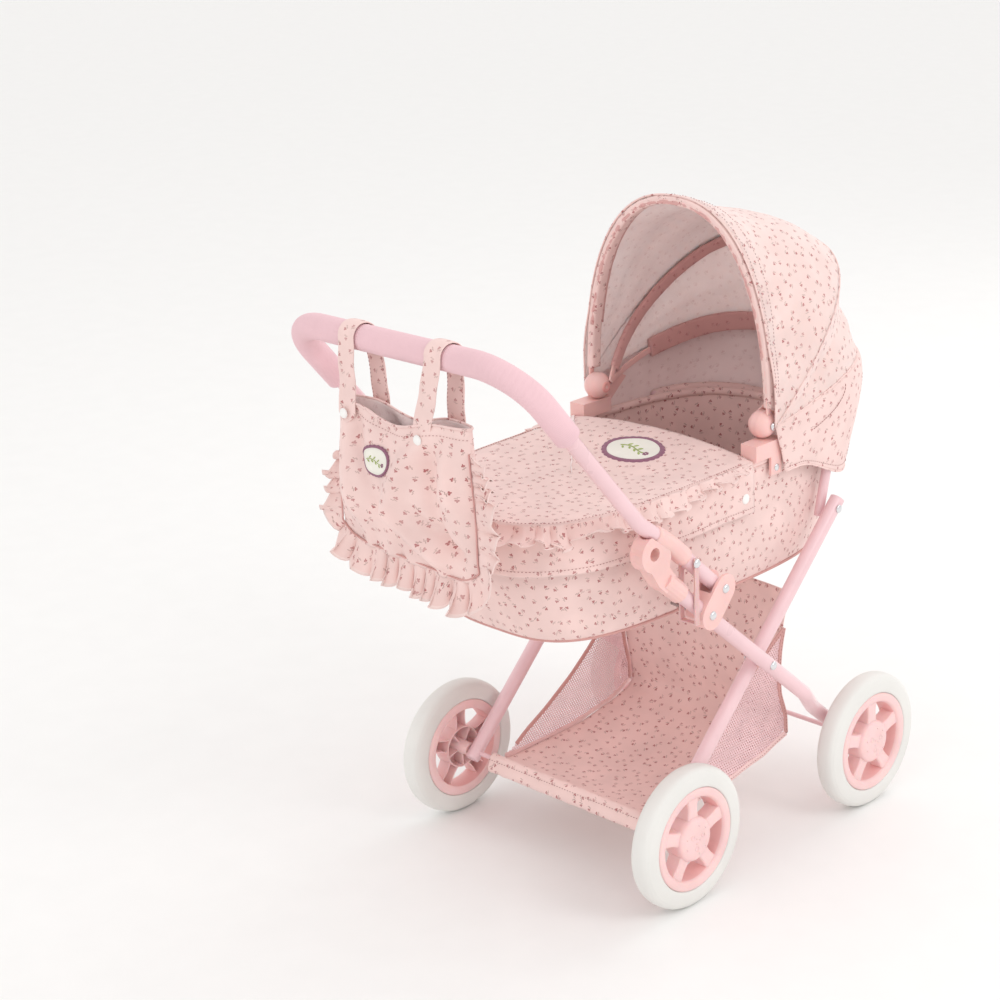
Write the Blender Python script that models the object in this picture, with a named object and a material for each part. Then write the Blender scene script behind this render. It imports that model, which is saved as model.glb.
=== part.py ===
"""A doll's pram: crossed tube legs, four wheels, a folding handle, a soft tub, a hood and a basket.

Metres, +Z up. +Y is the way the pram rolls (the hood end), the handle is at -Y, +X is the pusher's right.
The origin is on the floor, under the middle of the object.
"""
import math

import bmesh
import bpy
from mathutils import Matrix, Vector

# ---- driving dimensions -------------------------------------------------------------------------
GAP = 0.0003                    # space left between pieces that touch
WHEEL_R = 0.0725
RIM_R = 0.0530                  # where the tyre sits on the wheel
RING_R = 0.0420                 # inside of the wheel's ring
TYRE_W = 0.024
TRACK_X = 0.1593                # middle of a wheel
FRONT_AXLE_Y = 0.210
REAR_AXLE_Y = -0.076
AXLE_R = 0.0025
TUBE_R = 0.0075
TUBE_WALL = 0.0012
OUT_X = 0.150                   # plane of the front legs and of the handle
IN_X = 0.132                    # plane of the rear legs
FRONT_LEG_ANGLE = math.radians(41.6)
REAR_LEG_ANGLE = math.radians(44.3)
LEG_RIVET_AT = 0.3276           # along the front leg, from its axle
FRONT_LEG_LENGTH = 0.3976
HOOP_RIVET_AT = 0.3688          # along the rear leg, from its axle
REAR_LEG_LENGTH = 0.380
LEG_BELOW_AXLE = 0.009
AXLE_PAST_WHEEL = 0.0065        # how far the axle runs past a wheel's middle
FOLD_OFFSET = 0.029             # from the front leg's line up to the handle's pivot
RIVET_R = 0.0020
RIVET_HEAD_R = 0.0048
RUNNING_GAP = 0.0004            # round a rivet or an axle that something turns on
BRACKET_R = 0.0145
BRACKET_HALF = 0.0110
HANDLE_BENDS = ((-0.080, 0.371), (-0.124, 0.405))
CROSSBAR = (-0.2735, 0.583)
CORNER_R = 0.050                # bends of the handle's line
GRIP_R = 0.0125
GRIP_RUN = 0.094                # length of foam below each corner of the handle
SLEEVE_R = 0.0095
FINGER_RING = (0.0425, 0.0118)  # middle of the clip's ring: past the leg's end, and across from its line
SAFETY_RIVET_AT = 0.055         # along the handle, from its pivot
TUB_BOTTOM_Z = 0.275
TUB_TOP_Z = 0.398
TUB_BOTTOM = (0.043, 0.2085, 0.105)     # middle y, half length, half width
TUB_RIM = (0.0315, 0.235, 0.119)
TUB_POWER = 3.5
TUB_WALL = 0.003
RIM_ROD_IN = 0.0035             # from the tub's rim in to the middle of the rod in its hem
RIM_ROD_UP = 0.0035
HOOP_X, HOOP_R = 0.1165, 0.0050
HOOP_FRONT = (0.2735, 0.400)    # (y, z) of the hoop's cross run
HOOP_LEAN = (0.0225, 0.083)     # the way its arms rise, in side view
APRON_FRONT_Y = 0.0745
APRON_TOP_Z = 0.4085
SKIRT_Z = 0.352
SNAP = (0.0615, 0.372)          # (y, z) of the skirt's snap
HOOD_PIVOT = (0.103, 0.436)     # (y, z) of the line that the bows turn about
HOOD_Y, HOOD_Z = HOOD_PIVOT
HOOD_SPAN = (0.088, 0.130)      # x reach of a cutter through the bows' ends
BRACKET_BACK, BRACKET_AHEAD = 0.027, 0.015      # the hood bracket's block, from the pivot line
BRACKET_OUT = 0.1243            # outer face of everything that the rear legs fold past
BALL_X, BALL_R = 0.110, 0.014
FRONT_BOW = (math.radians(90), 0.122, 0.213, 2.3)       # angle, half width, height, roundness
MIDDLE_BOW = (math.radians(40), 0.127, 0.208, 3.1)
REAR_BOW = (math.radians(11), 0.125, 0.200, 3.5)
BOW_W, BOW_T = 0.006, 0.0025
BOW_INSET = 0.004               # from the cloth in to the middle of a bow
BOW_SCREW_R = 0.0022
CLOTH = 0.0012
BASKET_HALF = 0.110
BAG_X, BAG_Y = 0.010, -0.2760
BAG_TOP_Z, BAG_LOW_Z = 0.522, 0.342

SIDES = 10                      # round a tube
WHEEL_SIDES = 24
HUB_SIDES = 15
SPOKES = 5
SIDE_NAMES = ((1, "R"), (-1, "L"))
IN_SPAN = (0.120, 0.145)        # x reach of a cutter through a rear leg
OUT_SPAN = (0.130, 0.170)       # x reach of a cutter through a front leg or the handle

TUBE_PINK = (0.90, 0.66, 0.70)
PLASTIC_PINK = (0.95, 0.62, 0.60)
TYRE_WHITE = (0.86, 0.85, 0.84)
FOAM_PINK = (0.88, 0.62, 0.72)
CLOTH_PINK = (0.93, 0.68, 0.66)
STEEL = (0.80, 0.80, 0.82)
WHITE = (0.95, 0.94, 0.93)


# ---- helpers ------------------------------------------------------------------------------------
def clear_scene():
    for obj in list(bpy.data.objects):
        bpy.data.objects.remove(obj, do_unlink=True)


def material(name, colour, roughness, metallic=0.0):
    found = bpy.data.materials.get(name)
    if found:
        return found
    made = bpy.data.materials.new(name)
    made.use_nodes = True
    shader = made.node_tree.nodes["Principled BSDF"]
    shader.inputs["Base Color"].default_value = (*colour, 1.0)
    shader.inputs["Roughness"].default_value = roughness
    shader.inputs["Metallic"].default_value = metallic
    return made


def painted():
    return material("painted_tube", TUBE_PINK, 0.35, 0.1)


def plastic():
    return material("pink_plastic", PLASTIC_PINK, 0.35)


def cloth():
    return material("printed_cloth", CLOTH_PINK, 0.85)


def steel():
    return material("rivet_steel", STEEL, 0.2, 1.0)


def node(name, bm, mat, pivot=(0, 0, 0), smooth=40):
    """Turn world-space geometry into a named object whose origin is at pivot."""
    bmesh.ops.remove_doubles(bm, verts=bm.verts, dist=1e-6)
    bmesh.ops.recalc_face_normals(bm, faces=bm.faces)
    mesh = bpy.data.meshes.new(name)
    bm.to_mesh(mesh)
    bm.free()
    mesh.transform(Matrix.Translation(-Vector(pivot)))
    mesh.shade_smooth()
    mesh.set_sharp_from_angle(angle=math.radians(smooth))
    obj = bpy.data.objects.new(name, mesh)
    obj.location = pivot
    obj.data.materials.append(mat)
    bpy.context.scene.collection.objects.link(obj)
    return obj


def guide(name, bm):
    """A cutter or an added shape: it only serves a Boolean and is not part of the model."""
    obj = node(name, bm, plastic())
    obj.hide_render = True
    obj.display_type = "WIRE"
    return obj


def boolean(obj, tool, operation):
    mod = obj.modifiers.new(operation.lower(), "BOOLEAN")
    mod.operation = operation
    mod.object = tool


def cut(obj, *tools):
    for tool in tools:
        boolean(obj, tool, "DIFFERENCE")


def add(obj, *tools):
    for tool in tools:
        boolean(obj, tool, "UNION")


def baked_mesh(obj, name):
    """The object's mesh with its modifiers applied, for pieces that are used more than once."""
    graph = bpy.context.evaluated_depsgraph_get()
    mesh = bpy.data.meshes.new_from_object(obj.evaluated_get(graph))
    mesh.name = name
    return mesh


def skin(bm, rings, closed_rings=False, caps=True):
    """Join rings of points, each a loop of the same length, with quads."""
    made = [[bm.verts.new(point) for point in ring] for ring in rings]
    count = len(made[0])
    pairs = list(zip(made, made[1:]))
    if closed_rings:
        pairs.append((made[-1], made[0]))
    for low, high in pairs:
        for i in range(count):
            j = (i + 1) % count
            bm.faces.new((low[i], low[j], high[j], high[i]))
    if caps and not closed_rings:
        bm.faces.new(made[0])
        bm.faces.new(made[-1])


def turned(profile, centre, sides=SIDES):
    """Turn a closed (x, radius) outline about a line along X through centre (y, z)."""
    bm = bmesh.new()
    y0, z0 = centre
    rings = []
    for i in range(sides):
        turn = 2 * math.pi * i / sides
        rings.append([(x, y0 + r * math.cos(turn), z0 + r * math.sin(turn)) for x, r in profile])
    skin(bm, rings, closed_rings=True)
    return bm


def stepped_rod(centre, steps, sides=SIDES):
    """A round bar along X through (x, radius) steps, closed at both ends by flat faces."""
    bm = bmesh.new()
    y0, z0 = centre
    rings = []
    for x, radius in steps:
        rings.append([(x, y0 + radius * math.cos(2 * math.pi * i / sides),
                       z0 + radius * math.sin(2 * math.pi * i / sides)) for i in range(sides)])
    skin(bm, rings)
    return bm


def rod_x(centre, x0, x1, radius):
    """A plain round bar along X."""
    return stepped_rod(centre, [(x0, radius), (x1, radius)])


def mirrored(steps, side):
    """(x, radius) steps of the +X side, turned over for the other side."""
    return [(side * x, radius) for x, radius in steps]


def plate(outline, x0, x1):
    """Extrude a (y, z) outline from x0 to x1."""
    bm = bmesh.new()
    skin(bm, [[(x, y, z) for y, z in outline] for x in (x0, x1)])
    return bm


def box(low, high):
    outline = [(low[1], low[2]), (high[1], low[2]), (high[1], high[2]), (low[1], high[2])]
    return plate(outline, low[0], high[0])


def rounded(points, radius, steps=3):
    """A polyline with each inner corner replaced by an arc."""
    points = [Vector(p) for p in points]
    out = [points[0]]
    for before, corner, after in zip(points, points[1:], points[2:]):
        back = (before - corner).normalized()
        ahead = (after - corner).normalized()
        half = back.angle(ahead) / 2
        reach = radius / math.tan(half)
        centre = corner + (back + ahead).normalized() * (radius / math.sin(half))
        start = corner + back * reach - centre
        end = corner + ahead * reach - centre
        sweep = start.angle(end)
        for i in range(steps + 1):
            part = i / steps
            mix = start * math.sin((1 - part) * sweep) + end * math.sin(part * sweep)
            out.append(centre + mix / math.sin(sweep))
    out.append(points[-1])
    return out


def tube(path, radius, bore=None, sides=SIDES):
    """A round tube along path. Its rings keep their twist, and bore makes it hollow."""
    path = [Vector(p) for p in path]
    bm = bmesh.new()
    tangent = (path[1] - path[0]).normalized()
    side = tangent.orthogonal().normalized()
    outer, inner = [], []
    for i, point in enumerate(path):
        ahead = (path[i + 1] - point).normalized() if i + 1 < len(path) else tangent
        back = (point - path[i - 1]).normalized() if i else ahead
        new = (ahead + back).normalized()
        side = (tangent.rotation_difference(new) @ side).normalized()
        tangent = new
        up = tangent.cross(side)
        turns = [2 * math.pi * k / sides for k in range(sides)]
        outer.append([point + (side * math.cos(a) + up * math.sin(a)) * radius for a in turns])
        if bore is not None:
            inner.append([point + (side * math.cos(a) + up * math.sin(a)) * bore for a in turns])
    if bore is not None:
        skin(bm, outer + inner[::-1], closed_rings=True)
    else:
        skin(bm, outer)
    return bm


def superellipse(half_a, half_b, power, count, start=0.0, stop=2 * math.pi, whole=True):
    """Points (a, b) of a rounded rectangle or arch; a runs along the first half size."""
    points = []
    steps = count if whole else count - 1
    for i in range(count):
        turn = start + (stop - start) * i / steps
        c, s = math.cos(turn), math.sin(turn)
        points.append((half_a * math.copysign(abs(c) ** (2 / power), c),
                       half_b * math.copysign(abs(s) ** (2 / power), s)))
    return points


def sheet(grid, thickness):
    """A closed thick sheet over a grid of points; the grid is its outer face."""
    bm = bmesh.new()
    rows, cols = len(grid), len(grid[0])
    outer = [[bm.verts.new(p) for p in row] for row in grid]
    bm.verts.index_update()
    normals = {}
    for i in range(rows):
        for j in range(cols):
            du = Vector(grid[i][min(j + 1, cols - 1)]) - Vector(grid[i][max(j - 1, 0)])
            dv = Vector(grid[min(i + 1, rows - 1)][j]) - Vector(grid[max(i - 1, 0)][j])
            normals[i, j] = du.cross(dv).normalized()
    inner = [[bm.verts.new(Vector(grid[i][j]) - normals[i, j] * thickness)
              for j in range(cols)] for i in range(rows)]
    for i in range(rows - 1):
        for j in range(cols - 1):
            bm.faces.new((outer[i][j], outer[i][j + 1], outer[i + 1][j + 1], outer[i + 1][j]))
            bm.faces.new((inner[i][j], inner[i + 1][j], inner[i + 1][j + 1], inner[i][j + 1]))
    edge = [(0, j) for j in range(cols)] + [(i, cols - 1) for i in range(1, rows)]
    edge += [(rows - 1, j) for j in range(cols - 2, -1, -1)] + [(i, 0) for i in range(rows - 2, 0, -1)]
    for (i, j), (k, m) in zip(edge, edge[1:] + edge[:1]):
        bm.faces.new((outer[i][j], inner[i][j], inner[k][m], outer[k][m]))
    return bm


# ---- points of the side view --------------------------------------------------------------------
FRONT_AXLE = Vector((FRONT_AXLE_Y, WHEEL_R))
REAR_AXLE = Vector((REAR_AXLE_Y, WHEEL_R))
UP_FRONT_LEG = Vector((-math.cos(FRONT_LEG_ANGLE), math.sin(FRONT_LEG_ANGLE)))
ACROSS_FRONT_LEG = Vector((UP_FRONT_LEG.y, -UP_FRONT_LEG.x))
UP_REAR_LEG = Vector((math.cos(REAR_LEG_ANGLE), math.sin(REAR_LEG_ANGLE)))
WHEELBASE = FRONT_AXLE_Y - REAR_AXLE_Y
CROSS_AT = WHEELBASE * math.sin(FRONT_LEG_ANGLE) / math.sin(FRONT_LEG_ANGLE + REAR_LEG_ANGLE)
CROSS = REAR_AXLE + UP_REAR_LEG * CROSS_AT
LEG_RIVET = FRONT_AXLE + UP_FRONT_LEG * LEG_RIVET_AT
STUB_END = FRONT_AXLE + UP_FRONT_LEG * FRONT_LEG_LENGTH
HANDLE_PIVOT = LEG_RIVET + ACROSS_FRONT_LEG * FOLD_OFFSET
HOOP_RIVET = REAR_AXLE + UP_REAR_LEG * HOOP_RIVET_AT
ALONG_HANDLE = (Vector(HANDLE_BENDS[0]) - HANDLE_PIVOT).normalized()
SAFETY_RIVET = HANDLE_PIVOT + ALONG_HANDLE * SAFETY_RIVET_AT
CROSS_PIVOT = (0, CROSS.x, CROSS.y)
HANDLE_ORIGIN = (0, HANDLE_PIVOT.x, HANDLE_PIVOT.y)
HOOD_ORIGIN = (0, HOOD_Y, HOOD_Z)
BAR_ORIGIN = (0, *CROSSBAR)


def at_x(x, point):
    return Vector((x, point.x, point.y))


def by_leg(along, across):
    """A side-view point from the front leg's upper end, along the leg and square to it."""
    return STUB_END + UP_FRONT_LEG * along + ACROSS_FRONT_LEG * across


# ---- running gear -------------------------------------------------------------------------------
def hole(name, point, side, span, radius=RIVET_R + RUNNING_GAP):
    """A round cutter along X on one side of the object."""
    return guide(name, rod_x(point, side * span[0], side * span[1], radius))


def front_leg(side, tag):
    """One bent tube: straight in side view, stepping inwards above the wheel to reach the axle."""
    bend_low, bend_high, bend_r = 0.073, 0.122, 0.03
    foot = FRONT_AXLE - UP_FRONT_LEG * LEG_BELOW_AXLE
    path = rounded([at_x(side * IN_X, foot),
                    at_x(side * IN_X, FRONT_AXLE + UP_FRONT_LEG * bend_low),
                    at_x(side * OUT_X, FRONT_AXLE + UP_FRONT_LEG * bend_high),
                    at_x(side * OUT_X, STUB_END)], bend_r)
    leg = node(f"front_leg_{tag}", tube(path, TUBE_R, TUBE_R - TUBE_WALL), painted())
    cut(leg,
        hole(f"cut_front_axle_{tag}", FRONT_AXLE, side, IN_SPAN, AXLE_R + GAP),
        hole(f"cut_front_cross_{tag}", CROSS, side, OUT_SPAN),
        hole(f"cut_front_rivet_{tag}", LEG_RIVET, side, OUT_SPAN))


def rear_leg(side, tag):
    low = REAR_AXLE - UP_REAR_LEG * LEG_BELOW_AXLE
    high = REAR_AXLE + UP_REAR_LEG * REAR_LEG_LENGTH
    path = [at_x(side * IN_X, low), at_x(side * IN_X, high)]
    leg = node(f"rear_leg_{tag}", tube(path, TUBE_R, TUBE_R - TUBE_WALL), painted(), CROSS_PIVOT)
    cut(leg,
        hole(f"cut_rear_axle_{tag}", REAR_AXLE, side, IN_SPAN, AXLE_R + GAP),
        hole(f"cut_rear_cross_{tag}", CROSS, side, IN_SPAN),
        hole(f"cut_rear_hoop_{tag}", HOOP_RIVET, side, IN_SPAN))


def axles():
    reach = TRACK_X + AXLE_PAST_WHEEL
    node("front_axle", rod_x(FRONT_AXLE, -reach, reach, AXLE_R), steel())
    node("rear_axle", rod_x(REAR_AXLE, -reach, reach, AXLE_R), steel(), CROSS_PIVOT)


def domed_head(x):
    """(x, radius) steps of a rivet's made head, from its dome in to the shank."""
    return [(x + 0.0024, RIVET_HEAD_R * 0.45), (x + 0.0016, RIVET_HEAD_R * 0.85),
            (x, RIVET_HEAD_R), (x, RIVET_R)]


def flat_head(x):
    """The rivet's other end, from the shank out to a flat disc."""
    disc = RIVET_HEAD_R * 0.8
    return [(x, RIVET_R), (x, disc), (x - 0.0012, disc)]


def cross_pivot(side, tag):
    """The rivet where the legs cross, with a spacer between them."""
    steps = domed_head(OUT_X + TUBE_R + GAP) + flat_head(IN_X - TUBE_R - GAP)
    node(f"cross_rivet_{tag}", stepped_rod(CROSS, mirrored(steps, side)), steel())
    near, far, outer = IN_X + TUBE_R + GAP, OUT_X - TUBE_R - GAP, 0.006
    ring = [(near, RIVET_R + GAP), (near, outer), (far, outer), (far, RIVET_R + GAP)]
    node(f"cross_spacer_{tag}", turned(mirrored(ring, side), CROSS), plastic())


def wheel_meshes():
    """The moulded wheel and its tyre, made once about X with the outer face at +X."""
    half, lip, edge = TYRE_W / 2, 0.0023, 0.001
    seat = RIM_R - GAP
    ring = [(-half, RING_R), (-half, RIM_R - lip), (-half + lip, seat), (half - lip, seat),
            (half, RIM_R - lip), (half, RING_R + edge), (half - edge, RING_R)]
    wheel = node("wheel_form", turned(ring, (0, 0), WHEEL_SIDES), plastic())
    bore, boss, disc, face, blind = AXLE_R + RUNNING_GAP, 0.008, 0.023, 0.0125, AXLE_PAST_WHEEL + 0.001
    inner_end = -(TRACK_X - IN_X - TUBE_R) + 0.0007
    hub = [(inner_end, bore), (inner_end, boss), (-0.004, boss), (-0.004, disc - 0.0015),
           (face - 0.003, disc), (face - 0.001, disc - 0.0025), (face, 0.010), (face, 0.0),
           (blind, 0.0), (blind, bore)]
    add(wheel, guide("hub_form", turned(hub, (0, 0), HUB_SIDES)))
    spoke_half, spoke_back, spoke_face = 0.0062, -0.006, 0.0088
    for i in range(SPOKES):
        turn = math.tau * (0.25 + i / SPOKES)
        spoke = box((spoke_back, -spoke_half, 0.016), (spoke_face, spoke_half, RING_R + 0.003))
        bmesh.ops.rotate(spoke, verts=spoke.verts, cent=(0, 0, 0), matrix=Matrix.Rotation(turn, 3, "X"))
        add(wheel, guide(f"spoke_form_{i}", spoke))
    crown = [(half * 0.3, WHEEL_R), (half * 0.72, WHEEL_R - 0.0018), (half, WHEEL_R - 0.008), (half, RIM_R)]
    tyre = [(-x, r) for x, r in reversed(crown)] + crown
    tyre_form = node("tyre_form", turned(tyre, (0, 0), WHEEL_SIDES), material("tyre", TYRE_WHITE, 0.55))
    meshes = baked_mesh(wheel, "wheel"), baked_mesh(tyre_form, "tyre")
    for obj in [o for o in bpy.data.objects if "_form" in o.name]:
        bpy.data.objects.remove(obj, do_unlink=True)
    return meshes


def wheels():
    wheel, tyre = wheel_meshes()
    for end, axle in (("F", FRONT_AXLE), ("R", REAR_AXLE)):
        for side, tag in SIDE_NAMES:
            for kind, mesh in (("wheel", wheel), ("tyre", tyre)):
                obj = bpy.data.objects.new(f"{kind}_{end}{tag}", mesh)
                obj.location = at_x(side * TRACK_X, axle)
                obj.rotation_euler = (0, 0, 0 if side > 0 else math.pi)
                bpy.context.scene.collection.objects.link(obj)


# ---- handle and its lock ------------------------------------------------------------------------
def fold_bracket(side, tag):
    """A plastic block on the front leg with a fork for the handle's pivot."""
    outline = []
    for centre, start in ((LEG_RIVET, math.pi), (HANDLE_PIVOT, 0.0)):
        for i in range(9):
            turn = start + math.pi * i / 8
            spot = UP_FRONT_LEG * math.cos(turn) + ACROSS_FRONT_LEG * math.sin(turn)
            outline.append(tuple(centre + spot * BRACKET_R))
    x0, x1 = side * (OUT_X - BRACKET_HALF), side * (OUT_X + BRACKET_HALF)
    block = node(f"fold_bracket_{tag}", plate(outline, x0, x1), plastic())
    fork_low, fork_half, past = 0.0168, 0.0080, 0.03
    corners = [(-past, fork_low), (past, fork_low), (past, 2 * past), (-past, 2 * past)]
    fork = [tuple(LEG_RIVET + UP_FRONT_LEG * a + ACROSS_FRONT_LEG * b) for a, b in corners]
    leg_way = [at_x(side * OUT_X, LEG_RIVET + UP_FRONT_LEG * a) for a in (-past, past)]
    cut(block,
        guide(f"cut_fork_{tag}", plate(fork, side * (OUT_X - fork_half), side * (OUT_X + fork_half))),
        guide(f"cut_leg_way_{tag}", tube(leg_way, TUBE_R + GAP)),
        hole(f"cut_bracket_low_{tag}", LEG_RIVET, side, OUT_SPAN),
        hole(f"cut_bracket_high_{tag}", HANDLE_PIVOT, side, OUT_SPAN))


def bracket_rivets(side, tag):
    """Two rivets through the block; the lower one reaches in as the stud that carries the tub."""
    dome = domed_head(OUT_X + BRACKET_HALF + GAP)
    back = OUT_X - BRACKET_HALF - GAP
    stud_r, stud_end = 0.0032, 0.1095
    stud = dome + [(back, RIVET_R), (back, stud_r), (stud_end, stud_r)]
    plain = dome + flat_head(back)
    node(f"leg_rivet_{tag}", stepped_rod(LEG_RIVET, mirrored(stud, side)), steel())
    node(f"handle_rivet_{tag}", stepped_rod(HANDLE_PIVOT, mirrored(plain, side)), steel())


def both_sides(half):
    """Mirror half a path in X and join it to itself."""
    return half + [Vector((-p.x, p.y, p.z)) for p in reversed(half)]


def handle():
    below_pivot = 0.0085
    first = at_x(OUT_X, HANDLE_PIVOT - ALONG_HANDLE * below_pivot)
    half = [first] + [Vector((OUT_X, *p)) for p in (*HANDLE_BENDS, CROSSBAR)]
    path = rounded(both_sides(half), CORNER_R)
    bar = node("handle_tube", tube(path, TUBE_R, TUBE_R - TUBE_WALL), painted(), HANDLE_ORIGIN)
    last_bend, corner = half[-2:]
    grip_end = corner + (last_bend - corner).normalized() * GRIP_RUN
    grip_path = rounded(both_sides([grip_end, corner]), CORNER_R)
    foam = material("foam", FOAM_PINK, 0.8)
    node("handle_grip", tube(grip_path, GRIP_R, TUBE_R + GAP), foam, HANDLE_ORIGIN)
    for side, tag in SIDE_NAMES:
        for name, point in (("pivot", HANDLE_PIVOT), ("safety", SAFETY_RIVET)):
            cut(bar, hole(f"cut_handle_{name}_{tag}", point, side, OUT_SPAN))
        handle_sleeve(side, tag)
        safety_lock(side, tag)


def handle_sleeve(side, tag):
    """A plastic sleeve where the clip grips the handle."""
    bend, after = Vector(HANDLE_BENDS[0]), Vector(HANDLE_BENDS[1])
    start = HANDLE_PIVOT + ALONG_HANDLE * (SAFETY_RIVET_AT + 0.009)
    end = bend.lerp(after, 0.56)
    path = rounded([at_x(side * OUT_X, p) for p in (start, bend, end)], CORNER_R)
    node(f"handle_sleeve_{tag}", tube(path, SLEEVE_R, TUBE_R + GAP), plastic(), HANDLE_ORIGIN)


def safety_lock(side, tag):
    """A soft loop hung on a rivet through the handle; it goes round the leg's upper end."""
    wall, slack = 0.0016, 0.0010
    inside, outside = TUBE_R + slack, TUBE_R + slack + wall
    rivet = domed_head(OUT_X + outside + GAP) + flat_head(OUT_X - outside - GAP)
    node(f"safety_rivet_{tag}", stepped_rod(SAFETY_RIVET, mirrored(rivet, side)), steel(), HANDLE_ORIGIN)
    drop, above, half = 0.062, 0.0055, 0.0030
    y0, z0 = SAFETY_RIVET
    top, low = z0 + above, z0 - drop
    loop = [(-outside, top), (-outside, low), (outside, low), (outside, top),
            (inside, top), (inside, low + wall), (-inside, low + wall), (-inside, top)]
    bm = bmesh.new()
    skin(bm, [[(side * OUT_X + x, y, z) for x, z in loop] for y in (y0 - half, y0 + half)])
    strap = node(f"safety_strap_{tag}", bm, plastic(), HANDLE_ORIGIN)
    cut(strap, hole(f"cut_strap_{tag}", SAFETY_RIVET, side, OUT_SPAN))


def latch_clip(side, tag):
    """The springy clip on the leg's upper end: a finger ring and a cradle that the handle snaps into."""
    (ring_a, ring_b), ring_r, hole_r, half = FINGER_RING, 0.0178, 0.0066, TUBE_R
    turns = [math.radians(-115 + 20 * i) for i in range(9)]
    arc = [(ring_a + ring_r * math.cos(t), ring_b + ring_r * math.sin(t)) for t in turns]
    local = [(0.002, -0.0100), (0.016, -0.0098)] + arc
    local += [(0.046, 0.0262), (0.027, 0.0262), (0.020, 0.0200)]
    local += [(0.015, 0.0115), (0.006, 0.0095), (0.002, 0.0095)]
    outline = [tuple(by_leg(a, b)) for a, b in local]
    clip = node(f"latch_clip_{tag}", plate(outline, side * (OUT_X - half), side * (OUT_X + half)), plastic())
    collar = [at_x(side * OUT_X, by_leg(a, 0)) for a in (-0.022, 0.009)]
    stub_way = [at_x(side * OUT_X, by_leg(a, 0)) for a in (-0.03, GAP)]
    bend, after = [at_x(side * OUT_X, Vector(p)) for p in HANDLE_BENDS]
    before = bend - at_x(0, ALONG_HANDLE) * 0.05
    beyond = after + (after - bend).normalized() * 0.03
    cradle = rounded([before, bend, beyond], CORNER_R)
    add(clip, guide(f"collar_{tag}", tube(collar, 0.0105, sides=16)))
    cut(clip,
        guide(f"cut_stub_{tag}", tube(stub_way, TUBE_R + GAP)),
        guide(f"cut_cradle_{tag}", tube(cradle, SLEEVE_R + GAP)),
        hole(f"cut_finger_{tag}", by_leg(ring_a, ring_b), side, OUT_SPAN, hole_r))


# ---- tub ----------------------------------------------------------------------------------------
def outline_at(mix, shrink=0.0, count=36):
    """The tub's plan outline, from its bottom (mix 0) to its rim (mix 1)."""
    middle, length, width = [low + (high - low) * mix for low, high in zip(TUB_BOTTOM, TUB_RIM)]
    points = superellipse(width - shrink, length - shrink, TUB_POWER, count)
    return [(x, middle + y) for x, y in points]


def ring_at(z, mix, shrink=0.0):
    return [(x, y, z) for x, y in outline_at(mix, shrink)]


def tub():
    height = TUB_TOP_Z - TUB_BOTTOM_Z
    outer = [ring_at(TUB_BOTTOM_Z, 0.0, 0.006), ring_at(TUB_BOTTOM_Z + 0.006, 0.05)]
    outer += [ring_at(TUB_BOTTOM_Z + height * m, m ** 0.8) for m in (0.35, 0.7, 1.0)]
    inner = [ring_at(TUB_BOTTOM_Z + height * m, m ** 0.8, TUB_WALL) for m in (1.0, 0.5, 0.073)]
    inner.append(ring_at(TUB_BOTTOM_Z + TUB_WALL, 0.0, 0.006))
    bm = bmesh.new()
    skin(bm, outer + inner)
    node("tub", bm, cloth())
    board = bmesh.new()
    low = TUB_BOTTOM_Z + TUB_WALL + GAP
    layers = ((0.0, 0.009), (0.004, 0.007), (0.008, 0.009))
    skin(board, [ring_at(low + up, 0.0, shrink) for up, shrink in layers])
    node("base_pad", board, cloth())


def rim_rod():
    """The U-shaped rod in the tub's rear hem; its ends meet the hood brackets."""
    middle, length, width = TUB_RIM
    half, z, radius = width - RIM_ROD_IN, TUB_TOP_Z + RIM_ROD_UP, 0.0025
    points = superellipse(half, length - RIM_ROD_IN, TUB_POWER, 31, math.pi, 2 * math.pi, whole=False)
    rear = [Vector((x, middle + y, z)) for x, y in points if y < 0]
    ends = [Vector((side * half, HOOD_Y - BRACKET_BACK - 0.0005, z)) for side in (-1, 1)]
    node("rim_rod", tube([ends[0]] + rear + [ends[1]], radius, sides=6), painted())


def apron():
    """The boot cover: a flat top and a short skirt round the rear of the tub."""
    outer, inner = bmesh.new(), bmesh.new()
    stand_off, wall = 0.0015, 0.0020
    proud = stand_off + wall
    skin(outer, [ring_at(SKIRT_Z, 1.0, -proud), ring_at(APRON_TOP_Z - wall, 1.0, -proud),
                 ring_at(APRON_TOP_Z, 1.0, -stand_off)])
    skin(inner, [ring_at(SKIRT_Z - 0.01, 1.0, -stand_off), ring_at(APRON_TOP_Z - 0.0016, 1.0, -stand_off)])
    cover = node("apron", outer, cloth())
    front = box((-0.2, APRON_FRONT_Y, 0.3), (0.2, 0.4, 0.5))
    cut(cover, guide("cut_apron_inside", inner), guide("cut_apron_front", front))
    x, snap_r = TUB_RIM[2] + proud + GAP, 0.0055
    steps = [(x, snap_r), (x + 0.0009, snap_r), (x + 0.0014, snap_r - 0.0015)]
    for side, tag in SIDE_NAMES:
        node(f"snap_{tag}", stepped_rod(SNAP, mirrored(steps, side)), material("snap", WHITE, 0.3))


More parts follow.
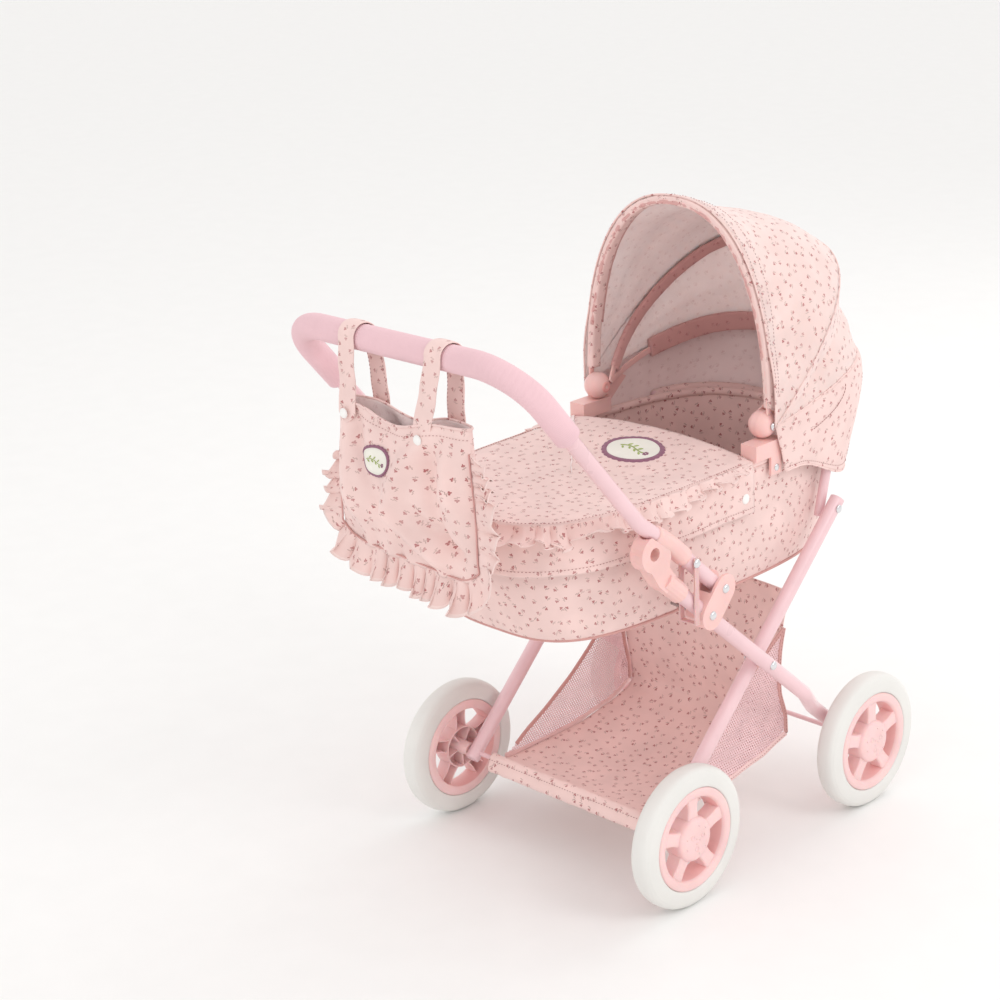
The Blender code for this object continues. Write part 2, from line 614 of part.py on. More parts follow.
def front_hoop():
    """The U-shaped tube that stands on the rear legs' upper ends and holds up the tub's front."""
    lean = Vector(HOOP_LEAN)
    front_y, front_z = HOOP_FRONT
    foot = HOOP_RIVET - lean.normalized() * 0.012
    knee = HOOP_RIVET + lean * ((front_z - HOOP_RIVET.y) / lean.y)
    middle = at_x(HOOP_X, (knee + Vector(HOOP_FRONT)) / 2)
    arm = rounded([at_x(HOOP_X, foot), at_x(HOOP_X, knee), middle], 0.012)
    corner = rounded([middle, Vector((HOOP_X, front_y, front_z)), Vector((0, front_y, front_z))], 0.075, 6)
    hoop = node("front_hoop", tube(both_sides(arm[:-1] + corner[1:-1]), HOOP_R, sides=8), painted())
    out, pin_r, head_r = IN_X + TUBE_R + GAP, RIVET_R, 0.0045
    steps = [(out + 0.0018, 0.0024), (out + 0.0011, head_r), (out, head_r), (out, pin_r),
             (IN_X - TUBE_R + GAP, pin_r)]
    for side, tag in SIDE_NAMES:
        cut(hoop, hole(f"cut_hoop_{tag}", HOOP_RIVET, side, (HOOP_X, IN_X)))
        node(f"hoop_rivet_{tag}", stepped_rod(HOOP_RIVET, mirrored(steps, side)), steel(), CROSS_PIVOT)


# ---- hood ---------------------------------------------------------------------------------------
def in_hood(x, reach, turn):
    """A point at a distance from the hood's pivot line, at an angle from straight ahead."""
    return Vector((x, HOOD_Y + reach * math.cos(turn), HOOD_Z + reach * math.sin(turn)))


def bow_line(bow, inset, count, start):
    """(x, reach) points along an arch, from +X to -X."""
    _, half, height, power = bow
    return superellipse(half - inset, height - inset, power, count, start, math.pi - start, whole=False)


def flat_strip(line, turn):
    """A flat strip that follows (x, reach) points in the plane at an angle about the hood's pivot."""
    sideways = Vector((0, -math.sin(turn), math.cos(turn))) * (BOW_W / 2)
    points = [in_hood(x, r, turn) for x, r in line]
    rings = []
    for i, point in enumerate(points):
        along = (points[min(i + 1, len(points) - 1)] - points[max(i - 1, 0)]).normalized()
        out = along.cross(sideways).normalized() * (BOW_T / 2)
        corners = ((sideways, out), (-sideways, out), (-sideways, -out), (sideways, -out))
        rings.append([point + a + b for a, b in corners])
    bm = bmesh.new()
    skin(bm, rings)
    return bm


def front_bow():
    line = bow_line(FRONT_BOW, BOW_INSET, 25, 0.022)
    bow = node("hood_bow_front", flat_strip(line, FRONT_BOW[0]), plastic(), HOOD_ORIGIN)
    flat_at, pole_r, rings = 0.0136, 0.004, 6
    ball = []
    for i in range(rings + 1):
        offset = flat_at * (2 * i / rings - 1)
        ball.append((BALL_X + offset, math.sqrt(max(BALL_R ** 2 - offset ** 2, pole_r ** 2))))
    under_head, head_r, tip = BALL_X + BALL_R, 0.0042, 0.0900
    screw = [(under_head + 0.0025, 0.0030), (under_head + 0.0015, head_r), (under_head, head_r),
             (under_head, BOW_SCREW_R), (tip, BOW_SCREW_R)]
    for side, tag in SIDE_NAMES:
        add(bow, guide(f"ball_{tag}", stepped_rod(HOOD_PIVOT, mirrored(ball, side), 16)))
        cut(bow, hole(f"cut_ball_{tag}", HOOD_PIVOT, side, HOOD_SPAN, BOW_SCREW_R + RUNNING_GAP))
        node(f"hood_screw_{tag}", stepped_rod(HOOD_PIVOT, mirrored(screw, side)), steel())


def middle_bow():
    """Its arms lie inside the balls, so that the front bow can fold down past them."""
    turn = MIDDLE_BOW[0]
    line = bow_line(MIDDLE_BOW, BOW_INSET, 21, 0.12)
    arm_x, eye_half, eye_r = 0.0940, 0.0017, 0.0075
    arm = [(arm_x, 0.0), (arm_x, 0.012)]
    line = arm + line + [(-x, r) for x, r in reversed(arm)]
    bow = node("hood_bow_middle", flat_strip(line, turn), plastic(), HOOD_ORIGIN)
    for side, tag in SIDE_NAMES:
        eye = rod_x(HOOD_PIVOT, side * (arm_x - eye_half), side * (arm_x + eye_half), eye_r)
        add(bow, guide(f"middle_eye_{tag}", eye))
        cut(bow, hole(f"cut_middle_{tag}", HOOD_PIVOT, side, HOOD_SPAN, BOW_SCREW_R + RUNNING_GAP))


def rear_bow():
    """Fixed: its ends stand on the front of the hood brackets."""
    turn = REAR_BOW[0]
    line = bow_line(REAR_BOW, BOW_INSET, 21, 0.12)
    node("hood_bow_rear", flat_strip(line, turn), plastic())


def hood_bracket(side, tag):
    """The moulded block under each hood pivot, with a tongue down the tub and an arm to the rear bow."""
    low, high = TUB_TOP_Z + 0.0075, HOOD_Z - BALL_R - 0.0005
    out_x, block_in = side * BRACKET_OUT, side * 0.1050
    block = box((block_in, HOOD_Y - BRACKET_BACK, low), (out_x, HOOD_Y + BRACKET_AHEAD, high))
    base = node(f"hood_bracket_{tag}", block, plastic())
    tongue_low, tongue_in = 0.386, BRACKET_OUT - 0.0030
    tongue = box((side * tongue_in, HOOD_Y - 0.004, tongue_low), (out_x, HOOD_Y + 0.012, low + 0.004))
    foot_y, foot_z = HOOD_Y + 0.0478, HOOD_Z + 0.0093
    arm = [(HOOD_Y + 0.010, low + 0.003), (HOOD_Y + 0.022, low + 0.003), (foot_y + 0.004, foot_z - 0.0125),
           (foot_y - 0.006, foot_z - 0.0075), (HOOD_Y + 0.019, high + 0.003), (HOOD_Y + 0.010, high - 0.001)]
    arm_in, arm_out = HOOP_X, HOOP_X + BOW_W
    add(base,
        guide(f"tongue_{tag}", tongue),
        guide(f"bow_arm_{tag}", plate(arm, side * arm_in, side * arm_out)))
    spot = (HOOD_Y + 0.0045, 0.393)
    cut(base, hole(f"cut_tongue_{tag}", spot, side, (0.115, 0.130)))
    face, head_r, tip = BRACKET_OUT + GAP, 0.0038, 0.1206
    steps = [(face + 0.0010, RIVET_R), (face + 0.0006, head_r), (face, head_r), (face, RIVET_R), (tip, RIVET_R)]
    node(f"bracket_rivet_{tag}", stepped_rod(spot, mirrored(steps, side)), steel())


def hood_panel(name, upper, lower, sag, margin):
    """The cloth between two bows, hollowed a little between them."""
    rows, cols, start = 5, 21, 0.10
    grid = []
    for i in range(rows):
        part = margin + (1 - 2 * margin) * i / (rows - 1)
        turn, half, height, power = [a + (b - a) * part for a, b in zip(upper, lower)]
        shrink = 1 - sag * math.sin(math.pi * part)
        width = half * (1 + shrink) / 2
        line = superellipse(width, height * shrink, power, cols, start, math.pi - start, whole=False)
        grid.append([in_hood(x, r, turn) for x, r in line])
    return grid


def hood_cloth():
    front = hood_panel("hood_panel_front", FRONT_BOW, MIDDLE_BOW, 0.045, 0.0)
    node("hood_panel_front", sheet(front, CLOTH), cloth(), HOOD_ORIGIN, 80)
    rear = hood_panel("hood_panel_rear", MIDDLE_BOW, REAR_BOW, 0.06, 0.02)
    node("hood_panel_rear", sheet(rear, CLOTH), cloth(), HOOD_ORIGIN, 80)


def curtain():
    """The cloth from the rear bow down round the front of the tub."""
    rows, cols, start = 5, 21, 0.10
    turn, half, height, power = REAR_BOW
    top = [in_hood(x, r, turn) for x, r in
           superellipse(half, height, power, cols, start, math.pi - start, whole=False)]
    hem_y, hem_length, hem_half, hem_power = 0.118, 0.157, 0.1255, 4.2
    first, last = 0.02, math.pi - 0.02
    side_z, front_drop, drop_run = 0.401, 0.036, 0.06
    hem = []
    for x, y in superellipse(hem_half, hem_length, hem_power, cols, first, last, whole=False):
        drop = min(1.0, max(0.0, y / drop_run))
        hem.append(Vector((x, hem_y + y, side_z - front_drop * drop)))
    grid = []
    for i in range(rows):
        part = 0.03 + 0.97 * i / (rows - 1)
        row = []
        for a, b in zip(top, hem):
            point = a.lerp(b, part)
            bulge = 0.012 * math.sin(math.pi * part) * max(0.0, (point.y - HOOD_Y) / 0.18)
            row.append(point + Vector((0, bulge, 0)))
        grid.append(row)
    node("curtain", sheet(grid, CLOTH), cloth(), smooth=80)


# ---- basket and bag -----------------------------------------------------------------------------
def basket():
    """A sling between the rear axle and the rear legs: floor, front wall and two side panels."""
    rear_y = REAR_AXLE_Y + AXLE_R + 0.0015
    outline = [(rear_y, 0.0715), (-0.030, 0.0680), (0.060, 0.0700), (0.1300, 0.0800), (0.1475, 0.0880),
               (0.1300, 0.1650), (0.1480, 0.2450), (0.1200, 0.2500), (rear_y, 0.0760)]
    inside = [(rear_y - 0.02, 0.0740), (-0.030, 0.0705), (0.060, 0.0725), (0.1290, 0.0825), (0.1448, 0.0905),
              (0.1272, 0.1650), (0.1450, 0.2700), (0.1200, 0.2800), (rear_y - 0.02, 0.0800)]
    body = node("basket", plate(outline, -BASKET_HALF, BASKET_HALF), cloth(), CROSS_PIVOT)
    inner = BASKET_HALF - 0.0025
    cut(body, guide("cut_basket", plate(inside, -inner, inner)))


def bag_section(z, half_width, half_depth, shift=0.0):
    points = superellipse(half_width, half_depth, 2.6, 20)
    return [(BAG_X + x, BAG_Y + shift + y, z) for x, y in points]


def bag():
    outer = [bag_section(BAG_LOW_Z, 0.075, 0.004, -0.004), bag_section(0.372, 0.092, 0.010, -0.004),
             bag_section(0.390, 0.094, 0.024, -0.002), bag_section(0.440, 0.093, 0.0270),
             bag_section(BAG_TOP_Z, 0.084, 0.0165)]
    inner = [bag_section(BAG_TOP_Z, 0.082, 0.0145), bag_section(0.440, 0.091, 0.0250),
             bag_section(0.392, 0.090, 0.020, -0.002)]
    bm = bmesh.new()
    skin(bm, outer + inner)
    node("bag", bm, cloth(), BAR_ORIGIN)
    for tag, x in (("R", 0.0600), ("L", -0.0450)):
        bag_strap(tag, x)


def bag_strap(tag, x):
    """A band over the handle's foam, its two ends standing on the bag's mouth."""
    low = BAG_TOP_Z + GAP
    outer_r, inner_r = GRIP_R + 0.0022, GRIP_R + 0.0005
    bar_y, bar_z = CROSSBAR
    arc = [math.pi * i / 10 for i in range(11)]
    outer = [(bar_y + outer_r * math.cos(t), bar_z + outer_r * math.sin(t)) for t in arc]
    inner = [(bar_y + inner_r * math.cos(t), bar_z + inner_r * math.sin(t)) for t in reversed(arc)]
    outline = [(bar_y + outer_r, low)] + outer + [(bar_y - outer_r, low), (bar_y - inner_r, low)]
    outline += inner + [(bar_y + inner_r, low)]
    node(f"bag_strap_{tag}", plate(outline, x - 0.0115, x + 0.0115), cloth(), BAR_ORIGIN)


def build():
    clear_scene()
    for side, tag in SIDE_NAMES:
        front_leg(side, tag)
        rear_leg(side, tag)
        cross_pivot(side, tag)
        fold_bracket(side, tag)
        bracket_rivets(side, tag)
        latch_clip(side, tag)
        hood_bracket(side, tag)
    axles()
    wheels()
    handle()
    tub()
    rim_rod()
    apron()
    front_hoop()
    front_bow()
    middle_bow()
    rear_bow()
    hood_cloth()
    curtain()
    basket()
    bag()


build()
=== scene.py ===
import math

import bmesh
import bpy
from mathutils import Matrix, Vector, noise


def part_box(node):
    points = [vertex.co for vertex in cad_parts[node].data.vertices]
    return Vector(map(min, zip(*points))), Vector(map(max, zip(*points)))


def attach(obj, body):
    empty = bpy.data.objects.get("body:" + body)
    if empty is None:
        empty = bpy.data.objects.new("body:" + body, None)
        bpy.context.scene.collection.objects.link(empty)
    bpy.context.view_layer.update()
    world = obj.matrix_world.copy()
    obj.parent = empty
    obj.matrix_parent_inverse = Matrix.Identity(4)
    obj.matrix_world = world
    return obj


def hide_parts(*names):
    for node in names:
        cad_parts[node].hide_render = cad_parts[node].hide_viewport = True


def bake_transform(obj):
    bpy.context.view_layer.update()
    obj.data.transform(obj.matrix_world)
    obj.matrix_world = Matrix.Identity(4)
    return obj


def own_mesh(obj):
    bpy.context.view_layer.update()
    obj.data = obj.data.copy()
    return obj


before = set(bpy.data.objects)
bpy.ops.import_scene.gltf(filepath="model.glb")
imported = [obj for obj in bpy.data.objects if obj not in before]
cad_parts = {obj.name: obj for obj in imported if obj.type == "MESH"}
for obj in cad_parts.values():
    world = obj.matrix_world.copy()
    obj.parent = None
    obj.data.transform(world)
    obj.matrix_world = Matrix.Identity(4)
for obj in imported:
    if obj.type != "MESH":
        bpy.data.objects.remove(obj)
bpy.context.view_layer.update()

SIDES = ((1, "R"), (-1, "L"))
TAU = math.tau
BAND_POWER, STITCH_PITCH = 4, 0.0036


# ---- places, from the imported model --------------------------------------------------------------
def centre(node):
    low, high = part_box(node)
    return (low + high) / 2


def at(node):
    """A node's middle in side view."""
    return centre(node) * Vector((0, 1, 1))


FRONT_AXLE, REAR_AXLE = at("front_axle"), at("rear_axle")
LEG_RIVET, HOOP_RIVET = at("leg_rivet_R"), at("hoop_rivet_R")
HANDLE_PIVOT, HOOD_PIVOT = at("handle_rivet_R"), at("hood_screw_R")
UP_FRONT = (LEG_RIVET - FRONT_AXLE).normalized()
UP_REAR = (HOOP_RIVET - REAR_AXLE).normalized()
TUBE_R, TUBE_WALL, OUT_X, IN_X = 0.0075, 0.0012, 0.150, 0.132
STUB_END = FRONT_AXLE + UP_FRONT * 0.3976
BENDS = (Vector((0, -0.080, 0.371)), Vector((0, -0.124, 0.405)))
BAR = Vector((0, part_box("handle_tube")[0].y + TUBE_R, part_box("handle_tube")[1].z - TUBE_R))
GRIP_R = 0.0125
HOOP_FRONT, HOOP_OUT, HOOP_BEND = Vector((0, 0.2735, 0.400)), Vector((0.1165, 0, 0)), 0.075
# the tub's outline is a superellipse, smaller at the floor than at the rim
RIM_Y, RIM_LONG, RIM_WIDE, TUB_POWER = 0.0315, 0.235, 0.119, 3.5
FLOOR_Y, FLOOR_LONG, FLOOR_WIDE, WIRE_IN = 0.043, 0.2085, 0.105, 0.0035
RIM_Z, TUB_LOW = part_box("tub")[1].z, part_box("tub")[0].z
# each bow, then the cloth over it: turn, half width, height and power of its superellipse
FRONT_BOW = (math.radians(90), 0.122, 0.213, 2.3)
MIDDLE_BOW = (math.radians(40), 0.127, 0.208, 3.1)
REAR_BOW = (math.radians(11), 0.125, 0.200, 3.5)
FRONT_CREST = (FRONT_BOW[0], 0.1235, 0.2140, 2.35)
MIDDLE_CREST = (MIDDLE_BOW[0], 0.1280, 0.2255, 2.85)
REAR_CREST = (REAR_BOW[0], 0.1268, 0.2005, 3.4)
MIDDLE_FOOT = 0.0930
STRAP_HALF = 0.0116
BAG_X, BAG_Y, BAG_TOP, BAG_LOW = 0.010, -0.2760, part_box("bag")[1].z, 0.381
# folds on the bag's face: start x and drop, end x and drop, half width, height
BAG_FOLDS = ((0.034, 0.012, -0.008, 0.105, 0.011, 0.0062), (0.042, 0.018, 0.060, 0.118, 0.009, -0.0055),
             (-0.066, 0.010, -0.052, 0.118, 0.012, 0.0045), (-0.052, 0.012, -0.032, 0.070, 0.006, -0.0030),
             (-0.004, 0.088, 0.058, 0.132, 0.008, 0.0062), (0.022, 0.080, 0.078, 0.118, 0.007, -0.0050),
             (-0.030, 0.060, 0.010, 0.128, 0.013, -0.0035), (0.060, 0.020, 0.078, 0.080, 0.008, 0.0040))


# ---- small maths --------------------------------------------------------------------------------
def lerp(a, b, t):
    return a + (b - a) * t


def ease(t, low=0.0, high=1.0):
    t = min(1.0, max(0.0, (t - low) / (high - low)))
    return t * t * (3 - 2 * t)


def rough(*where, seed=0.0):
    """Smooth noise from -1 to 1 at a place."""
    point = Vector((*where, 0.0, 0.0)[:3])
    return noise.noise(point + Vector((seed * 7.13, seed * 3.71, seed * 1.37)))


def power_arc(half_a, half_b, power, turn):
    c, s = math.cos(turn), math.sin(turn)
    return (half_a * math.copysign(abs(c) ** (2 / power), c),
            half_b * math.copysign(abs(s) ** (2 / power), s))


def rounded(points, radius, steps=10):
    """A polyline with each inner corner replaced by an arc."""
    points = [Vector(p) for p in points]
    out = [points[0]]
    for before, corner, after in zip(points, points[1:], points[2:]):
        back, ahead = (before - corner).normalized(), (after - corner).normalized()
        half = back.angle(ahead) / 2
        if half > math.radians(89):
            out.append(corner)
            continue
        middle = corner + (back + ahead).normalized() * (radius / math.sin(half))
        start = corner + back * (radius / math.tan(half)) - middle
        end = corner + ahead * (radius / math.tan(half)) - middle
        sweep = start.angle(end)
        for i in range(steps + 1):
            part = i / steps
            mix = start * math.sin((1 - part) * sweep) + end * math.sin(part * sweep)
            out.append(middle + mix / math.sin(sweep))
    out.append(points[-1])
    return out


def lengths(points):
    """Distance along a polyline at each of its points."""
    run = [0.0]
    for a, b in zip(points, points[1:]):
        run.append(run[-1] + (b - a).length)
    return run


def resampled(points, step):
    """The same polyline with evenly spaced points."""
    run = lengths(points)
    count = max(2, round(run[-1] / step))
    out, k = [], 0
    for i in range(count + 1):
        goal = run[-1] * i / count
        while k < len(run) - 2 and run[k + 1] < goal:
            k += 1
        span = max(run[k + 1] - run[k], 1e-9)
        out.append(points[k].lerp(points[k + 1], (goal - run[k]) / span))
    return out


def smooth_path(points, step):
    """A smooth curve through points (Catmull-Rom), evenly resampled."""
    out = []
    ext = [points[0] * 2 - points[1]] + points + [points[-1] * 2 - points[-2]]
    for a, b, c, d in zip(ext, ext[1:], ext[2:], ext[3:]):
        for i in range(12):
            t = i / 12
            out.append(0.5 * ((b * 2) + (c - a) * t + (a * 2 - b * 5 + c * 4 - d) * t * t
                              + (b * 3 - a - c * 3 + d) * t ** 3))
    out.append(points[-1])
    return resampled(out, step)


def ring_of(half_a, half_b, power, count):
    """Evenly spaced points round a closed superellipse."""
    fine = [Vector((*power_arc(half_a, half_b, power, TAU * k / 720), 0)) for k in range(721)]
    return resampled(fine, lengths(fine)[-1] / count)[:count]


def both_sides(half):
    return half + [Vector((-p.x, p.y, p.z)) for p in reversed(half)]


# ---- mesh building ------------------------------------------------------------------------------
def finish_mesh(name, verts, faces, uvs, mats, face_mats=None):
    mesh = bpy.data.meshes.new(name)
    mesh.from_pydata([tuple(v) for v in verts], [], faces)
    layer = mesh.uv_layers.new(name="cloth")
    if uvs:
        layer.data.foreach_set("uv", [c for uv in uvs for c in uv])
    mesh.shade_smooth()
    for mat in mats if isinstance(mats, (list, tuple)) else [mats]:
        mesh.materials.append(mat)
    if face_mats:
        mesh.polygons.foreach_set("material_index", face_mats)
    mesh.update()
    obj = bpy.data.objects.new(name, mesh)
    bpy.context.scene.collection.objects.link(obj)
    return obj


def surface(name, rows, mats, uv, wrap=False, caps=False, flip=False, mat_of=None):
    """A smooth skin over rows of points. uv(i, j) is a corner's place on the flat cloth, in metres."""
    count = len(rows[0])
    verts = [p for row in rows for p in row]
    faces, uvs, face_mats = [], [], []
    for i in range(len(rows) - 1):
        for j in range(count if wrap else count - 1):
            k = (j + 1) % count
            ids = [i * count + j, i * count + k, (i + 1) * count + k, (i + 1) * count + j]
            spots = [(i, j), (i, j + 1), (i + 1, j + 1), (i + 1, j)]
            if flip:
                ids, spots = ids[::-1], spots[::-1]
            faces.append(ids)
            uvs += [uv(*spot) for spot in spots]
            face_mats.append(mat_of(i, j) if mat_of else 0)
    if caps:
        for i in (0, len(rows) - 1):
            ids = [i * count + j for j in range(count)]
            if (i == 0) != flip:
                ids.reverse()
            faces.append(ids)
            uvs += [uv(i, k % count) for k in ids]
            face_mats.append(mat_of(min(i, len(rows) - 2), 0) if mat_of else 0)
    return finish_mesh(name, verts, faces, uvs, mats, face_mats)


def along(path, closed=False, keep=None):
    """(tangent, side, up) at each point of a path, without twist, or with side kept near a direction."""
    out, count = [], len(path)
    side = None
    for i, point in enumerate(path):
        ahead = path[(i + 1) % count] if closed or i + 1 < count else point
        back = path[i - 1] if closed or i else point
        tangent = (ahead - back).normalized()
        if keep is not None:
            side = keep(i) if callable(keep) else Vector(keep)
        elif side is None:
            side = tangent.orthogonal()
        side = (side - tangent * side.dot(tangent)).normalized()
        out.append((tangent, side, tangent.cross(side)))
    return out


def sweep(name, path, section, mats, closed=False, keep=None):
    """A skin along a path. section(i) lists (side, up) offsets round ring i."""
    frames = along(path, closed, keep)
    rings = [[point + side * a + up * b for a, b in section(i)]
             for i, (point, (_, side, up)) in enumerate(zip(path, frames))]
    run = lengths(path)
    around = lengths([Vector((a, b, 0)) for a, b in section(len(path) // 2) + section(len(path) // 2)[:1]])
    if closed:
        rings.append(rings[0])
        run.append(run[-1] + (path[-1] - path[0]).length)
    obj = surface(name, rings, mats, lambda i, j: (around[j], run[i]), wrap=True,
                  caps=not closed)
    if closed:
        weld(obj)
    return obj


def weld(obj):
    bm = bmesh.new()
    bm.from_mesh(obj.data)
    bmesh.ops.remove_doubles(bm, verts=bm.verts, dist=1e-6)
    bmesh.ops.recalc_face_normals(bm, faces=bm.faces)
    bm.to_mesh(obj.data)
    bm.free()
    return obj


def spun(obj, turn, axis="X"):
    obj.data.transform(Matrix.Rotation(turn, 4, axis))
    return obj


def moved(obj, spot):
    obj.data.transform(Matrix.Translation(spot))
    return obj


def circle(radius, sides):
    return [(radius * math.cos(TAU * k / sides), radius * math.sin(TAU * k / sides)) for k in range(sides)]


def cord_of(name, path, radius, mat, sides=10, closed=False):
    """A thin round piping or rod along a path."""
    ring = circle(radius, sides)
    return sweep(name, path, lambda i: ring, mat, closed=closed)


def oblong(half_a, half_b, power, sides):
    """Points round a superellipse, at even turns."""
    return [power_arc(half_a, half_b, power, TAU * k / sides) for k in range(sides)]


def band(name, path, width, thick, mat, keep, sides=16):
    """A flat soft band with rounded edges; keep is the direction of its width."""
    ring = oblong(width / 2, thick / 2, BAND_POWER, sides)
    return sweep(name, path, lambda i: ring, mat, keep=keep)


def turned(name, profile, mats, sides=64, mat_of=None):
    """Turn an (x, radius) outline about the X axis."""
    rings = [[Vector((x, r * math.cos(TAU * k / sides), r * math.sin(TAU * k / sides)))
              for k in range(sides)] for x, r in profile]
    obj = surface(name, rings, mats, lambda i, j: (profile[i][0], profile[i][1] * j * TAU / sides),
                  wrap=True, mat_of=mat_of)
    return weld(obj)


def joined(name, parts):
    """One object from several, with their materials kept."""
    bpy.context.view_layer.update()
    with bpy.context.temp_override(active_object=parts[0], selected_editable_objects=parts,
                                   selected_objects=parts):
        bpy.ops.object.join()
    parts[0].name = name
    parts[0].data.name = name
    return parts[0]


def modifier(obj, kind, **settings):
    mod = obj.modifiers.new(kind.lower(), kind)
    for key, value in settings.items():
        setattr(mod, key, value)
    return mod


def crease_soft(obj, width=0.0007, segments=3, angle=32):
    modifier(obj, "BEVEL", width=width, segments=segments, limit_method="ANGLE",
             angle_limit=math.radians(angle), harden_normals=False)
    obj.data.shade_smooth()
    return obj


def thick(obj, size=0.0011, inside=None, offset=-1.0):
    """Give a sheet its thickness; inside is the number of materials to move on for its back."""
    modifier(obj, "SOLIDIFY", thickness=size, offset=offset, use_even_offset=False, use_quality_normals=True,
             material_offset=inside or 0, material_offset_rim=0)
    return obj


def place(obj, body, slot=None, *nodes):
    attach(obj, body)
    if nodes:
        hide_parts(*nodes)
    return obj


def sewn(obj, body, *nodes):
    return place(obj, body, "printed_cloth", *nodes)


# ---- materials ----------------------------------------------------------------------------------
def srgb(*colour):
    return (*[((c + 0.055) / 1.055) ** 2.4 if c > 0.04045 else c / 12.92 for c in colour], 1.0)


class Finish:
    """A procedural material, put together one node at a time."""

    def __init__(self, name, **settings):
        self.mat = bpy.data.materials.new(name)
        self.mat.use_nodes = True
        self.tree = self.mat.node_tree
        self.shader = self.tree.nodes["Principled BSDF"]
        for key, value in settings.items():
            self.shader.inputs[key.replace("_", " ")].default_value = value
        self.object = self.add("TexCoord").outputs["Object"]
        self.uv = self.add("UVMap", uv_map="cloth").outputs[0]
        self.normal = None

    def add(self, kind, values=(), **settings):
        node = self.tree.nodes.new("ShaderNode" + kind)
        for key, value in settings.items():
            setattr(node, key, value)
        for key, value in values.items() if isinstance(values, dict) else enumerate(values):
            if isinstance(value, bpy.types.NodeSocket):
                self.tree.links.new(value, node.inputs[key])
            elif value is not None:
                node.inputs[key].default_value = value
        return node

    def math(self, operation, *values):
        return self.add("Math", values, operation=operation).outputs[0]

    def vector(self, operation, *values, out=0):
        return self.add("VectorMath", values, operation=operation).outputs[out]

    def scaled(self, vector, scale):
        return self.add("VectorMath", {0: vector, 3: scale}, operation="SCALE").outputs[0]

    def noise(self, vector, scale, detail=2.0, roughness=0.5):
        return self.add("TexNoise", {"Vector": vector, "Scale": scale, "Detail": detail,
                                     "Roughness": roughness}).outputs[0]

    def span(self, value, low, high, to_low=0.0, to_high=1.0):
        return self.add("MapRange", [value, low, high, to_low, to_high]).outputs[0]

    def mix(self, factor, first, second):
        return self.add("Mix", {0: factor, 6: first, 7: second}, data_type="RGBA").outputs[2]

    def bump(self, height, distance, strength=1.0):
        values = {"Height": height, "Distance": distance, "Strength": strength}
        if self.normal:
            values["Normal"] = self.normal
        self.normal = self.add("Bump", values).outputs[0]

    def link(self, socket, name):
        self.tree.links.new(socket, self.shader.inputs[name])

    def done(self, colour=None, roughness=None):
        if colour:
            self.link(colour, "Base Color")
        if roughness:
            self.link(roughness, "Roughness")
        if self.normal:
            self.link(self.normal, "Normal")
        return self.mat


def shade(colour, factor):
    return tuple(c * factor for c in colour)


def hard(name, colour, roughness, grain=700, grain_depth=0.00003, wave_depth=0.00012, vary=0.03, **more):
    """Moulded plastic, paint, foam or rubber: slight mottling, fine grain and a softly uneven face."""
    f = Finish(name, **more)
    cloud = f.noise(f.object, 22, 3)
    tint = f.span(cloud, 0.3, 0.7)
    light = [min(1, c * (1 + vary * 0.6)) for c in colour]
    base = f.mix(tint, srgb(*shade(colour, 1 - vary)), srgb(*light))
    specks = f.noise(f.object, grain, 2)
    f.bump(f.noise(f.object, 60, 2), wave_depth, 0.5)
    f.bump(specks, grain_depth, 0.6)
    return f.done(base, f.span(cloud, 0.25, 0.75, roughness - 0.05, roughness + 0.07))


PRINT_PITCH, THREAD, PUCKER = 0.0114, 0.00085, 0.0007
INK, LEAF = (0.66, 0.33, 0.34), (0.66, 0.53, 0.50)
# the sprig's petals, then its two leaves and stem, in cells of the print
PETALS = (((-0.085, 0.10), (0.085, 0.070)), ((0.085, 0.11), (0.080, 0.072)), ((0, 0.20), (0.062, 0.080)))
LEAVES = (((-0.12, -0.06), (0.10, 0.042)), ((0.11, -0.13), (0.095, 0.040)), ((0, -0.05), (0.028, 0.17)))
CLOTH_FACE = {"Roughness": 0.85, "Sheen_Weight": 0.2, "Sheen_Roughness": 0.45, "Specular_IOR_Level": 0.22}


def cloth_face(f, depth):
    """Weave, slubs and small puckers of a light cotton."""
    threads = f.scaled(f.uv, TAU / THREAD)
    parts = f.add("SeparateXYZ", [threads])
    over = f.math("MULTIPLY", f.math("SINE", parts.outputs[0]), f.math("SINE", parts.outputs[1]))
    f.bump(f.noise(f.uv, 75, 3, 0.55), depth, 0.7)
    f.bump(f.noise(f.uv, 420, 2), 0.00012, 0.5)
    f.bump(over, 0.00005, 0.5)


def blob(f, spot, middle, radii):
    """1 inside a soft-edged ellipse about middle, in cells of the print."""
    away = f.vector("SUBTRACT", spot, (*middle, 0))
    away = f.vector("DIVIDE", away, (*radii, 1))
    return f.span(f.vector("LENGTH", away, out=1), 0.78, 1.12, 1.0, 0.0)


def blobs(f, spot, ovals):
    """1 inside any of several ellipses, each given by its middle and radii."""
    whole = None
    for middle, radii in ovals:
        one = blob(f, spot, middle, radii)
        whole = one if whole is None else f.math("MAXIMUM", whole, one)
    return whole


